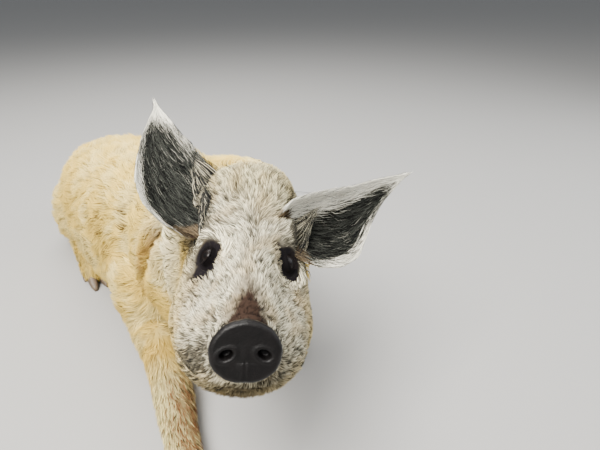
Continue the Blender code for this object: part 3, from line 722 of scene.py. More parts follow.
def tinted(name, roughness, specular=0.35, coat=0.0, coatRough=0.1):
    made = material(name, roughness, specular, coat, coatRough)
    nodes = made.node_tree.nodes
    tint = nodes.new("ShaderNodeAttribute")
    tint.attribute_name = "tint"
    made.node_tree.links.new(tint.outputs["Color"], nodes["Principled BSDF"].inputs["Base Color"])
    return made


# Adds a bump of two sizes to a material, read from where the point is on the object
def addBump(made, sizes, strength, distance, stretch=(1.0, 1.0, 1.0)):
    nodes, links = made.node_tree.nodes, made.node_tree.links
    where = nodes.new("ShaderNodeTexCoord")
    shape = nodes.new("ShaderNodeMapping")
    shape.inputs["Scale"].default_value = stretch
    links.new(where.outputs["Object"], shape.inputs["Vector"])
    heights = []
    for size in sizes:
        grain = nodes.new("ShaderNodeTexNoise")
        grain.inputs["Scale"].default_value = 1.0 / size
        grain.inputs["Detail"].default_value = 3.0
        links.new(shape.outputs["Vector"], grain.inputs["Vector"])
        heights.append(grain.outputs["Fac"])
    both = nodes.new("ShaderNodeMath")
    both.operation = "ADD"
    links.new(heights[0], both.inputs[0])
    links.new(heights[1], both.inputs[1])
    bump = nodes.new("ShaderNodeBump")
    bump.inputs["Strength"].default_value = strength
    bump.inputs["Distance"].default_value = distance
    links.new(both.outputs["Value"], bump.inputs["Height"])
    links.new(bump.outputs["Normal"], nodes["Principled BSDF"].inputs["Normal"])
    return made


def setTint(obj, colours):
    layer = obj.data.color_attributes.new("tint", "FLOAT_COLOR", "POINT")
    full = np.concatenate([colours, np.ones((len(colours), 1))], axis=1)
    layer.data.foreach_set("color", full.ravel().astype(np.float32))


# Smooth, coloured and dressed
def show(obj, colours, look, slot, *nodes):
    setTint(obj, colours)
    obj.data.shade_smooth()
    dress(obj, look, slot, *nodes)


def dress(obj, look, slot, *nodes):
    obj.data.materials.clear()
    obj.data.materials.append(look)
    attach(obj, "root")
    if nodes:
        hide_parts(*nodes)


looks = {
    "skin": addBump(tinted("skin", 0.80, 0.06), (0.0016, 0.006), 0.5, 0.002),
    "hair": tinted("hair", 0.75, 0.06),
    "ear": addBump(tinted("ear", 0.80, 0.06), (0.0012, 0.005), 0.4, 0.0012),
    "snout": addBump(tinted("snout", 0.46, 0.16, 0.05, 0.25), (0.0012, 0.0035), 0.50, 0.0010),
    "lid": addBump(tinted("lid", 0.85, 0.04), (0.0007, 0.0025), 0.5, 0.0008),
    "eye": tinted("eye", 0.30, 0.14, 0.05, 0.12),
    "claw": addBump(tinted("claw", 0.45, 0.4), (0.0010, 0.004), 0.35, 0.0008, (1.0, 0.25, 1.0)),
}

skinMarks = markings(vertexPlaces(skin))
onFace = skinMarks["head"] * (1.0 - skinMarks["brown"]) * (1.0 - 0.6 * skinMarks["jaw"])
hide = painted(
    skinMarks["colour"] * 0.66,
    (linear(42, 35, 30), 0.80 * onFace + 0.30 * skinMarks["leg"]),
    (linear(20, 17, 19), skinMarks["dark"]),
    # A dark line along the mouth: painted shade in its groove
    (linear(24, 20, 20), hill(mouthAway, 0.0036)),
    (linear(12, 10, 11), smooth(0.014, 0.010, toHead(vertexPlaces(skin))[:, 1])),
)
setTint(skin, hide)
dress(
    skin, looks["skin"], "coat",
    "torso", "neck", "head", "foreleg_right", "foreleg_left", "forefoot_right", "forefoot_left",
    "hindleg_right", "hindleg_left", "tail",
)


# Tufts: closed, three-sided and tapered, from rows of middle points
# Sides and ups may be one for each tuft, halves one row for all, and shades give a colour its rows
def tuftMesh(name, middles, sides, ups, halves, colours, roots, soft=0.0, shades=None):
    count, rows = middles.shape[:2]
    sides, ups = (way if way.ndim == 3 else np.repeat(way[:, None], rows, 1) for way in (sides, ups))
    halves = np.broadcast_to(halves, (count, rows))
    if shades:
        colours = colours[:, None] * np.array(shades)[None, :, None]
    rings = rows - 1
    corner = [(0.0, 0.8), (-0.87, -0.4), (0.87, -0.4)]
    perTuft = 3 * rings + 1
    places = np.empty((count, perTuft, 3))
    tints = np.empty((count, perTuft, 3))
    normals = np.empty((count, perTuft, 3))
    patch = np.empty((count, perTuft, 2))
    for r in range(rings):
        for c, (across, upward) in enumerate(corner):
            k = 3 * r + c
            places[:, k] = middles[:, r] + halves[:, r, None] * (across * sides[:, r] + upward * ups[:, r])
            tints[:, k] = colours[:, r]
            normals[:, k] = across * sides[:, r] * (1.0 - soft) + (upward * (1.0 - soft) + soft) * ups[:, r]
            patch[:, k] = roots + np.array((0.0015 * across, 0.003 * r / rings - 0.0015))
    places[:, -1] = middles[:, -1]
    tints[:, -1] = colours[:, -1]
    normals[:, -1] = ups[:, -1]
    patch[:, -1] = roots + np.array((0.0, 0.0015))
    faces = [(0, 1, 2)]
    for r in range(rings - 1):
        for c in range(3):
            a, b = 3 * r + c, 3 * r + (c + 1) % 3
            faces += [(a, a + 3, b), (b, a + 3, b + 3)]
    top = 3 * (rings - 1)
    faces += [(top + c, perTuft - 1, top + (c + 1) % 3) for c in range(3)]
    faces = np.array(faces)[:, ::-1]
    index = (faces[None] + perTuft * np.arange(count)[:, None, None]).reshape(-1)
    mesh = bpy.data.meshes.new(name)
    mesh.vertices.add(count * perTuft)
    mesh.vertices.foreach_set("co", places.ravel())
    mesh.loops.add(len(index))
    mesh.loops.foreach_set("vertex_index", index.astype(np.int32))
    total = len(index) // 3
    mesh.polygons.add(total)
    mesh.polygons.foreach_set("loop_start", (3 * np.arange(total)).astype(np.int32))
    mesh.polygons.foreach_set("loop_total", np.full(total, 3, np.int32))
    mesh.polygons.foreach_set("use_smooth", np.ones(total, bool))
    mesh.update(calc_edges=True)
    if soft:
        mesh.normals_split_custom_set_from_vertices(unit(normals).reshape(-1, 3))
    layer = mesh.uv_layers.new(name="OFBake")
    layer.data.foreach_set("uv", patch.reshape(-1, 2)[index].ravel().astype(np.float32))
    made = linked(name, mesh)
    setTint(made, tints.reshape(-1, 3))
    return made


def hair(slot, *shape):
    dress(tuftMesh(*shape), looks["hair"], slot)


# The hide laid out flat: along the body and round it, with the legs and the tail below
spine = np.array([
    (0.0, 0.42, 0.19), (0.0, 0.20, 0.16), (0.0, -0.10, 0.18), (0.0, -0.35, 0.24), (-0.014, -0.50, 0.31),
    (-0.058, -0.634, 0.39), (-0.183, -0.835, 0.42),
])


def roundAxis(points, start, end):
    way = unit(end - start)
    side = unit(np.cross(way, (0.0, 0.0, 1.0) if abs(way[2]) < 0.9 else (1.0, 0.0, 0.0)))
    up = np.cross(side, way)
    t, off = offLine(points, start, end)
    return t, norms(off), np.arctan2(off @ side, off @ up) / fullTurn + 0.5


def laidFlat(points):
    flat = np.zeros((len(points), 2))
    best = np.full(len(points), farAway)
    steps = np.concatenate([[0.0], np.cumsum(norms(np.diff(spine, axis=0)))])
    for k in range(len(spine) - 1):
        t, away, turn = roundAxis(points, spine[k], spine[k + 1])
        closer = away < best
        best[closer] = away[closer]
        along = (steps[k] + t * (steps[k + 1] - steps[k])) / steps[-1]
        flat[closer] = np.stack([0.005 + 0.99 * turn, 0.26 + 0.73 * along], 1)[closer]
    shares, _, spots = legShares(points)
    for k, path in enumerate(legPaths):
        chosen = shares[k] > 0.5
        for (start, _, _), (end, _, _) in zip(path, path[1:]):
            t, _, turn = roundAxis(points, np.array(start), np.array(end))
            here = chosen & (t > 0.0) & (t < 1.0)
            flat[here, 0] = 0.2 * k + 0.01 + 0.18 * turn[here]
        flat[chosen, 1] = 0.01 + 0.22 * spots[k][chosen]
    return flat


def bodyLie(points, normals):
    side = 1.0 - np.maximum(0.0, normals[:, 2])
    return np.stack([0.3 * normals[:, 0], np.ones(len(points)), -0.6 * side], 1)


# The hair of the face runs back from the snout, parts on the forehead and turns above the eyes
def faceLie(points):
    local = toHead(points)
    x, y, z = local.T
    part = np.tanh(x / 0.025)
    upper = smooth(-0.02, 0.03, z)
    way = np.stack([0.55 * part * upper, np.ones(len(points)), -0.55 * (1.0 - upper) + 0.15 * upper], 1)
    for side in (-1.0, 1.0):
        off = local - np.array((side * 0.030, 0.200, 0.100))
        near = hill(norms(off), 0.032)
        swirl = np.stack([-side * off[:, 1], side * off[:, 0], np.zeros(len(points))], 1)
        way += (near * 0.7)[:, None] * unit(swirl)
    return way @ headTurn.T


def hairLie(points, normals):
    way = mix(unit(bodyLie(points, normals)), unit(faceLie(points)), headShare(points))
    shares, ways, _ = legShares(points)
    for k in range(len(legPaths)):
        way = mix(way, ways[k], shares[k])
        way[:, 2] -= 5.0 * shares[k] * (1.0 - shares[k])
    return way


class Sampler:
    def __init__(self, obj):
        obj.data.calc_loop_triangles()
        index = np.empty(len(obj.data.loop_triangles) * 3, np.int32)
        obj.data.loop_triangles.foreach_get("vertices", index)
        places = vertexPlaces(obj)
        self.corners = places[index.reshape(-1, 3)]
        cross = np.cross(self.corners[:, 1] - self.corners[:, 0], self.corners[:, 2] - self.corners[:, 0])
        self.areas = 0.5 * norms(cross)
        self.normals = unit(cross)
        self.middles = self.corners.mean(1)

    def roots(self, weight, count, seed):
        rng = np.random.default_rng(seed)
        chance = self.areas * weight
        chosen = rng.choice(len(chance), count, p=chance / chance.sum())
        u, v = rng.random(count), rng.random(count)
        over = u + v > 1.0
        u[over], v[over] = 1.0 - u[over], 1.0 - v[over]
        a, b, c = self.corners[chosen].transpose(1, 0, 2)
        return a + u[:, None] * (b - a) + v[:, None] * (c - a), self.normals[chosen]


# Follows the surface from each root along the lie, and lifts the hair off it; free hair runs straight on
def grow(tree, roots, normals, lies, sizes, depths, steps, sink, free=None):
    count = len(roots)
    middles = np.empty((count, steps + 1, 3))
    ups = np.empty((count, steps + 1, 3))
    sides = np.empty((count, steps + 1, 3))
    for i in range(count):
        spot, normal = Vector(roots[i]), Vector(normals[i])
        heading = Vector(lies[i])
        stride = sizes[i] / steps
        for k in range(steps + 1):
            along = heading - heading.dot(normal) * normal
            along.normalize()
            share = k / steps
            middles[i, k] = spot + normal * (depths[i] * share**0.8 - sink)
            ups[i, k] = normal
            sides[i, k] = normal.cross(along)
            if k < steps:
                ahead = spot + along * stride
                near, nearNormal, _, _ = tree.find_nearest(ahead)
                loose = 0.0 if free is None else float(free[i])
                spot, normal = near.lerp(ahead, loose), nearNormal.lerp(normal, loose)
                heading = along
    return middles, sides, ups


def turned(vectors, axes, angles):
    cos, sin = np.cos(angles)[:, None], np.sin(angles)[:, None]
    return vectors * cos + np.cross(axes, vectors) * sin


# Draws each hair towards the tip of the lock that it belongs to
def gather(middles, roots, lockCount, pull, rng):
    heads = rng.choice(len(roots), min(lockCount, len(roots)), replace=False)
    tree = KDTree(len(heads))
    for k, head in enumerate(heads):
        tree.insert(roots[head], k)
    tree.balance()
    lead = np.array([heads[tree.find(root)[1]] for root in roots])
    steps = middles.shape[1] - 1
    for k in range(1, steps + 1):
        share = pull * (k / steps) ** 1.3
        middles[:, k] += share * (middles[lead, k] - middles[:, k])
    return lead


# Colours a piece of the coat from the markings at its roots
def coatColours(marks, lead, rows, rng, rootShade, spread):
    count = len(marks["colour"])
    colour = marks["colour"] * rng.uniform(1.0 - spread, 1.10, (count, 1))[lead]
    colour = colour * rng.uniform(1.0 - 0.6 * spread, 1.06, (count, 1))
    isRust = rng.random(count) < marks["rust"]
    colour = either(isRust, mix(colour, tones["rust"], rng.uniform(0.75, 1.0, count)), colour)
    chance = np.where(rng.random(count) < 0.6 * marks["head"], rng.random(count)[lead], rng.random(count))
    isPepper = chance < marks["pepper"]
    colour = either(isPepper, mix(colour, tones["pepper"], rng.uniform(0.80, 1.0, count)), colour)
    shade = np.linspace(rootShade, 1.16, rows)
    return np.clip(colour[:, None] * shade[None, :, None], 0.0, 1.0)


def makeCoat(settings):
    rng = np.random.default_rng(settings["seed"])
    weight = settings["where"](sampler.middles)
    roots, normals = sampler.roots(weight, settings["count"], settings["seed"])
    order = np.argsort(roots[:, 1])
    roots, normals = roots[order], normals[order]
    marks = markings(roots)
    lies = unit(hairLie(roots, normals))
    swing = settings["swing"] * (waves(roots, 0.10, 31) + 0.7 * waves(roots, 0.035, 32))
    lies = turned(lies, normals, swing + rng.normal(0.0, settings["loose"], len(roots)))
    size = settings["size"](roots, marks) * rng.uniform(0.75, 1.2, len(roots))
    depth = settings["depth"](roots, marks) * rng.uniform(0.6, 1.1, len(roots))
    steps = settings["steps"]
    middles, sides, ups = grow(skinTree, roots, normals, lies, size, depth, steps, rootSink, marks["end"])
    lead = gather(middles, roots, settings["locks"], settings["pull"], rng)
    # Waves along the hair, in step within a lock
    turn = rng.uniform(0.0, fullTurn, len(roots))[lead]
    for k in range(1, steps + 1):
        share = k / steps
        bend = settings["wave"] * share * np.sin(turn + 4.2 * share)
        middles[:, k] += sides[:, k] * (bend * size / 0.04)[:, None]
    middles[..., 2] = np.maximum(middles[..., 2], coatFloor)
    width = settings["width"](roots, marks) * rng.uniform(0.75, 1.25, len(roots))
    halves = 0.5 * width[:, None] * np.array(settings["taper"])
    colours = coatColours(marks, lead, steps + 1, rng, settings["rootShade"], settings["spread"])
    flat = laidFlat(roots)
    parts = math.ceil(len(roots) * (6 * steps - 2) / mostTriangles)
    for part, chosen in enumerate(np.array_split(np.arange(len(roots)), parts)):
        name = f'{settings["name"]}_{part + 1}'
        shape = [values[chosen] for values in (middles, sides, ups, halves, colours, flat)]
        hair(settings["slot"], name, *shape, settings["soft"])
    print(settings["name"], len(roots), "tufts in", parts, "pieces")


sampler = Sampler(skin)
mostTriangles = 190000
rootSink, coatFloor = 0.0012, 0.0010
quickShare = 1.0


def bodyWeight(middles):
    under = smooth(0.002, 0.02, middles[:, 2])
    legs, _, _ = legShares(middles)
    local = toHead(middles)
    thick = 1.0 + 0.5 * smooth(0.0, -0.5, middles[:, 1])
    return under * (1.0 - headShare(middles)) * (1.0 - 0.85 * legs.max(0)) * thick * (local[:, 1] > 0.2)


def faceWeight(middles):
    local = toHead(middles)
    fit = headShare(middles) * (1.0 - 0.72 * eyeDark(local)) * (1.0 - 0.6 * noseBrown(local))
    fit *= 1.0 + 0.8 * smooth(0.10, 0.0, local[:, 1])
    for side in (-1.0, 1.0):
        fit *= smooth(0.011, 0.017, awayFrom(local, eyes["place"], side))
    return fit * (local[:, 1] > 0.012)


def legWeight(middles):
    legs, _, _ = legShares(middles)
    return smooth(0.002, 0.012, middles[:, 2]) * (legs.max(0) + 1.4 * legs[4])


coats = [
    {
        "name": "body_coat", "slot": "coat", "seed": 101, "count": int(66000 * quickShare),
        "where": bodyWeight, "steps": 2, "swing": 0.50, "loose": 0.16, "locks": 4400, "pull": 0.54,
        "wave": 0.0075, "taper": (1.0, 0.80, 0.0), "rootShade": 0.50, "soft": 0.60, "spread": 0.12,
        "size": lambda roots, marks: (0.044 - 0.026 * smooth(0.05, 0.5, marks["head"]))
        * (1.0 - 0.65 * smooth(0.0, 0.7, marks["leg"])) * (1.0 - 0.25 * smooth(-0.10, -0.35, roots[:, 1]))
        * (1.0 - 0.30 * marks["behind"]),
        "depth": lambda roots, marks: (
            (0.021 - 0.013 * smooth(0.05, 0.6, marks["head"])) * (1.0 - 0.8 * marks["leg"])
        )
        * (1.0 - 0.30 * smooth(-0.10, -0.35, roots[:, 1])) * (1.0 - 0.5 * marks["behind"])
        + 0.010 * smooth(0.24, 0.34, roots[:, 2]) * smooth(-0.35, -0.15, roots[:, 1]),
        "width": lambda roots, marks: 0.0019 - 0.0007 * np.maximum(marks["leg"], marks["head"]),
    },
    {
        "name": "face_coat", "slot": "face", "seed": 202, "count": int(42000 * quickShare),
        "where": faceWeight, "steps": 2, "swing": 0.30, "loose": 0.25, "locks": 6000, "pull": 0.46,
        "wave": 0.0022, "taper": (1.0, 0.75, 0.0), "rootShade": 0.12, "soft": 0.42, "spread": 0.38,
        "size": lambda roots, marks: (0.0130 + 0.010 * marks["jaw"]) * (1.0 - 0.5 * marks["dark"])
        * (0.50 + 0.50 * smooth(0.01, 0.08, toHead(roots)[:, 1])),
        "depth": lambda roots, marks: (0.0042 + 0.005 * marks["jaw"]) * (1.0 - 0.6 * marks["dark"]),
        "width": lambda roots, marks: 0.00092 + 0.0003 * marks["jaw"],
    },
    {
        "name": "leg_coat", "slot": "face", "seed": 303, "count": int(11500 * quickShare),
        "where": legWeight, "steps": 2, "swing": 0.18, "loose": 0.16, "locks": 2500, "pull": 0.30,
        "wave": 0.002, "taper": (1.0, 0.75, 0.0), "rootShade": 0.42, "soft": 0.40, "spread": 0.25,
        "size": lambda roots, marks: 0.020 + 0.008 * marks["tail"] + 0.034 * marks["tail"] * marks["end"],
        "depth": lambda roots, marks: 0.0090 - 0.0045 * marks["tail"] * (1.0 - 2.4 * marks["end"])
        - 0.0060 * marks["end"] * (1.0 - marks["tail"]),
        "width": lambda roots, marks: np.full(len(roots), 0.0014),
    },
]
for settings in coats:
    makeCoat(settings)


# Ears: cupped leaves, fine and smooth, with hair along the rims and in the cup
def earFrame(root, tip, front):
    length = (Vector(tip) - Vector(root)).normalized()
    face = Vector(front) - Vector(front).dot(length) * length
    face.normalize()
    axes = Matrix((face.cross(length), -face, length)).transposed().to_4x4()
    return headMatrix @ Matrix.Translation(root) @ axes


ears = {
    "right": {
        "frame": earFrame((-0.083, 0.243, 0.060), (-0.172, 0.386, 0.204), (0.10, -0.80, 0.60)),
        "bridge": (0.50, 0.86, (-0.080, 0.205, 0.040), (-0.058, 0.258, 0.124)),
        "length": 0.214, "curl": 120.0, "bend": 0.010, "inward": -1.0, "crown": 0.22, "band": (0.62, 0.80),
        "paleFrom": (0.20, 0.55),
        "widths": (0.34, 0.78, 1.04, 0.99, 0.74, 0.46, 0.22, 0.04),
        "bow": (0.004, 0.006, 0.009, 0.010, 0.011, 0.010, 0.004, 0.0),
    },
    "left": {
        "frame": earFrame((0.082, 0.226, 0.060), (0.246, 0.300, 0.138), (0.20, -0.80, 0.20)),
        "bridge": (0.26, 0.72, (0.086, 0.196, 0.036), (0.074, 0.238, 0.088)),
        "length": 0.206, "curl": 105.0, "bend": 0.012, "inward": 1.0, "crown": 0.95, "band": (0.34, 0.62),
        "paleFrom": (-0.40, -0.20),
        "widths": (0.62, 0.94, 1.04, 0.95, 0.56, 0.30, 0.15, 0.04),
        "bow": (0.012, 0.004, -0.007, -0.013, -0.006, 0.0, 0.0, 0.0),
    },
}
earStart, earWide, earThick = -0.16, 0.112, 0.0048
earSteps = (earStart, -0.05, 0.12, 0.30, 0.50, 0.70, 0.88, 1.0)


# Reads a table along the ear with a smooth curve through its values
def alongEar(share, values):
    total = 0.0
    weight = 0.0
    for shift in (-0.05, -0.025, 0.0, 0.025, 0.05):
        near = 1.0 - abs(shift) / 0.07
        total = total + near * np.interp(share + shift, earSteps, values)
        weight += near
    return total / weight


# A point of the ear: share from root to tip, across from -0.5 to 0.5, and layer 1 behind, -1 in the cup
def earPoint(ear, share, across, layer, out=0.0):
    wide = earWide * alongEar(share, ear["widths"])
    curl = np.radians(ear["curl"] * (1.0 - 0.55 * share))
    thick = earThick * (1.9 - 1.35 * share)
    radius = wide / curl
    rim = 1.0 - 0.75 * np.abs(2.0 * across) ** 3
    r = radius + layer * (0.5 * thick * rim + out)
    x = r * np.sin(across * curl) + alongEar(share, ear["bow"])
    y = r * np.cos(across * curl) - radius + ear["bend"] * share**2 - 0.5 * earStart * np.minimum(share, 0.0)
    z = ear["length"] * share - 0.012
    return placed(np.stack([x, y, z], -1), ear["frame"])


# Which edge of the ear is next to the crown: 1 at that edge, -1 at the free edge
def earEdge(ear, across):
    return 2.0 * across * ear["inward"]


def earTones(ear, share, across, layer):
    edge = earEdge(ear, across)
    cup = painted(
        linear(8, 8, 8),
        (linear(70, 70, 66), smooth(0.62, 0.95, share)),
        (linear(62, 44, 38), smooth(0.20, 0.06, share - earStart) * smooth(0.8, 0.4, abs(edge + 0.2))),
        (linear(96, 90, 76), np.maximum(smooth(0.72, 0.92, edge), smooth(-0.84, -0.96, edge))),
    )
    return either(layer < 0.0, cup, linear(110, 98, 76))


def makeEar(label, ear):
    steps, across = 44, 26
    ring = [(a / across - 0.5, 1.0) for a in range(across + 1)]
    ring += [(0.5 - a / across, -1.0) for a in range(across + 1)]
    us = np.array([u for u, _ in ring])
    layers = np.array([layer for _, layer in ring])
    rings = []
    for k in range(steps + 1):
        share = np.full(len(us), earStart + (1.0 - earStart) * k / steps)
        ripple = 0.0012 * np.sin(26.0 * share + 9.0 * us) * smooth(0.2, 0.5, np.abs(us))
        rings.append([Vector(p) for p in earPoint(ear, share, us, layers, ripple * layers)])
    made = finished(f"ear_skin_{label}", loftMesh(rings))
    shares = np.repeat(earStart + (1.0 - earStart) * np.arange(steps + 1) / steps, len(us))
    colours = earTones(ear, shares, np.tile(us, steps + 1), np.tile(layers, steps + 1))
    show(made, colours, looks["ear"], "ear", f"ear_{label}")


earHair = {
    "cup": {"count": 4300, "length": 0.034, "depth": 0.0040, "width": 0.0010, "layer": -1.0},
    "back": {"count": 2400, "length": 0.024, "depth": 0.0045, "width": 0.0014, "layer": 1.0},
    "rim": {"count": 2400, "length": 0.022, "depth": 0.0040, "width": 0.0011, "layer": 0.0},
    "base": {"count": 420, "length": 0.016, "depth": 0.0050, "width": 0.0010, "layer": -1.0},
}


# The hair's colour, and its turn from the ear's length towards the crown's edge in degrees
def earCoat(ear, share, across, layer, rng):
    count = len(share)
    edge = earEdge(ear, across)
    pale = mix(linear(252, 248, 232), linear(190, 186, 170), rng.random(count))
    dark = mix(linear(5, 5, 5), linear(72, 74, 68), rng.random(count) ** 3.0)
    crown = smooth(0.35, 0.60, edge)
    free = smooth(-0.74, -0.92, edge) * (1.0 - 0.5 * smooth(0.30, 0.50, share) * smooth(0.85, 0.7, share))
    tip = smooth(0.64, 0.88, share)
    band = smooth(ear["band"][0], ear["band"][1], edge)
    crowned = (0.18 * crown + ear["crown"] * band) * smooth(*ear["paleFrom"], share)
    lightness = np.clip(0.02 + crowned + 0.85 * free + 0.86 * tip, 0.0, 0.95)
    inCup = mix(pale, linear(96, 96, 88), np.clip(0.85 - lightness, 0.0, 1.0))
    colour = either(rng.random(count) < lightness, inCup, dark)
    behind = either(rng.random(count) < 0.80, mix(pale, tones["cream"], 0.6), dark)
    colour = either((layer > 0.0) & (abs(edge) < 0.86), behind, colour)
    turn = 66.0 * crown - 56.0 + rng.normal(0.0, 11.0, count)
    turn = turn * (1.0 - 0.65 * tip)
    turn = np.where(layer > 0.0, 0.35 * turn, turn)
    lobe = free * smooth(0.50, 0.30, share)
    return colour, turn - 25.0 * lobe, 1.0 + 0.6 * lobe


def makeEarHair(label, ear, seed):
    rng = np.random.default_rng(seed)
    shapes = []
    for kind, settings in earHair.items():
        count = int(settings["count"] * quickShare)
        share = earStart + (1.0 - earStart) * (rng.beta(1.0, 1.30, count) * 0.97 + 0.01)
        across = rng.uniform(-0.48, 0.48, count)
        layer = np.full(count, settings["layer"])
        if kind == "rim":
            share = rng.uniform(earStart + 0.04, 0.995, count)
            across = np.where(rng.random(count) < 0.5, -1.0, 1.0) * rng.uniform(0.44, 0.50, count)
            layer = np.where(rng.random(count) < 0.5, -1.0, 1.0)
        if kind == "base":
            share = earStart + rng.uniform(-0.005, 0.045, count)
        base, turn, longer = earCoat(ear, share, across, layer, rng)
        if kind == "base":
            base = mix(linear(30, 24, 20), linear(120, 104, 80), rng.random(count) ** 1.6)
        length = settings["length"] * longer * rng.uniform(0.6, 1.3, count)
        length *= 1.0 - 0.35 * smooth(0.3, 1.0, share)
        angle = np.radians(turn)
        if kind == "rim":
            angle = np.sign(earEdge(ear, across)) * np.radians(rng.uniform(8.0, 58.0, count) * longer)
        wide = earWide * alongEar(share, ear["widths"])
        bend = rng.normal(0.0, 0.10, count)
        rows = []
        for k in range(3):
            t = k / 2.0
            heading = angle * (1.0 - 0.45 * t) + bend * t
            s = share + t * length * np.cos(heading) / ear["length"]
            a = across + t * length * np.sin(heading) * ear["inward"] / wide
            lift = settings["depth"] * t**0.8 * rng.uniform(0.5, 1.1, count) - 0.0005
            rows.append(earPoint(ear, s, np.clip(a, -0.62, 0.62), layer, lift))
        rows = np.stack(rows, 1)
        normal = unit(rows[:, 0] - earPoint(ear, share, across, layer, -0.01))
        side = unit(np.cross(normal, rows[:, 2] - rows[:, 0]))
        base = base * rng.uniform(0.88, 1.12, (count, 1))
        half = 0.5 * settings["width"] * rng.uniform(0.7, 1.3, count)
        halves = half[:, None] * np.array((1.0, 0.75, 0.0))
        colours = np.clip(base[:, None] * np.array((0.7, 0.95, 1.08))[None, :, None], 0.0, 1.0)
        flat = np.stack([0.02 + 0.46 * (across + 0.5) + 0.5 * (layer > 0.0), 0.02 + 0.95 * share], 1)
        shapes.append((rows, side, normal, halves, colours, flat))
    hair("ear", f"ear_hair_{label}", *(np.concatenate(values) for values in zip(*shapes)), 0.4)


# Long black and white hair that joins the temple to the crown's edge of the ear
bridges = {"count": 1500, "size": (0.018, 0.046), "farthest": 0.080, "halves": (0.0004, 0.0004, 0.0003, 0.0)}
longShades = (0.7, 0.9, 1.0, 1.05)


def makeEarBridge(label, ear, seed):
    rng = np.random.default_rng(seed)
    count = int(bridges["count"] * quickShare)
    reach, darkShare, low, high = ear["bridge"]
    share = rng.uniform(-0.02, reach, count)
    aim = earPoint(ear, share + 0.10, np.full(count, 0.40 * ear["inward"]), np.full(count, -1.0), 0.004)
    t = np.clip((share + 0.02) / (reach + 0.02), 0.0, 1.0)
    along = mix(np.array(low), np.array(high), t)
    roots, normals = onSkin(placed(along + rng.normal(0.0, 0.009, (count, 3)), headMatrix))
    way = unit(aim - roots)
    size = np.minimum(rng.uniform(*bridges["size"], count), norms(aim - roots))
    kept = norms(aim - roots) < bridges["farthest"]
    roots, normals, way, size, share = roots[kept], normals[kept], way[kept], size[kept], share[kept]
    count = len(roots)
    rows = []
    for k in range(4):
        s = k / 3.0
        rows.append(roots + way * (size * s)[:, None] + normals * (0.006 * math.sin(2.6 * s) - 0.001))
    rows = np.stack(rows, 1)
    sideways = unit(np.cross(normals, way))
    isDark = rng.random(count) < darkShare
    dark = mix(linear(10, 10, 10), linear(70, 70, 66), rng.random(count) ** 2)
    colour = either(isDark, dark, tones["ivory"] * rng.uniform(0.25, 0.8, (count, 1)))
    name, flat = f"ear_bridge_{label}", laidFlat(roots)
    hair("ear", name, rows, sideways, normals, bridges["halves"], colour, flat, 0.4, longShades)


for seed, (label, ear) in enumerate(ears.items()):
    makeEar(label, ear)
    makeEarHair(label, ear, 400 + seed)
    makeEarBridge(label, ear, 420 + seed)
print("ears")


# The snout's disc with its nostrils
snout = {"wide": 0.0768, "tall": 0.0680, "roll": -4.0, "tilt": -14.0, "turns": 112, "steps": 44}
snoutSide = (  # back from the face, and share of the edge
    (0.0016, 0.92), (0.0034, 0.965), (0.0060, 0.99), (0.0090, 0.985), (0.0125, 0.94), (0.0160, 0.86),
    (0.0240, 0.74),
)
snoutMatrix = headMatrix @ turnBy(snout["roll"], "Y") @ turnBy(snout["tilt"], "X")


def discEdge(angles):
    shape = np.where(np.sin(angles) > 0.0, 1.90, 2.25)
    across = np.sign(np.cos(angles)) * np.abs(np.cos(angles)) ** (2.0 / shape) * snout["wide"] / 2.0
    upward = np.sign(np.sin(angles)) * np.abs(np.sin(angles)) ** (2.0 / shape) * snout["tall"] / 2.0
    return across, upward


def snoutFace(x, z):
    back = 0.0008 * np.ones_like(x)
    for side in (-1.0, 1.0):
        dx, dz = x - side * 0.0195, z + 0.002
        # A nostril is a round hole with a slit that runs up and outwards
        turnX = dx + side * 0.35 * dz
        away = np.sqrt((turnX / 0.0072) ** 2 + (dz / 0.0060) ** 2)
        back += 0.0085 * smooth(1.05, 0.50, away)
        back -= 0.0009 * hill(away - 1.40, 0.34)
    back -= 0.0012 * hill(x, 0.006) * smooth(0.02, -0.02, z)
    back += 0.0010 * hill(x, 0.0012) * smooth(-0.002, -0.014, z)
    back += 0.0006 * hill(z + 0.0095 + 5.0 * x * x, 0.0018) * smooth(0.016, 0.006, abs(x))
    return back


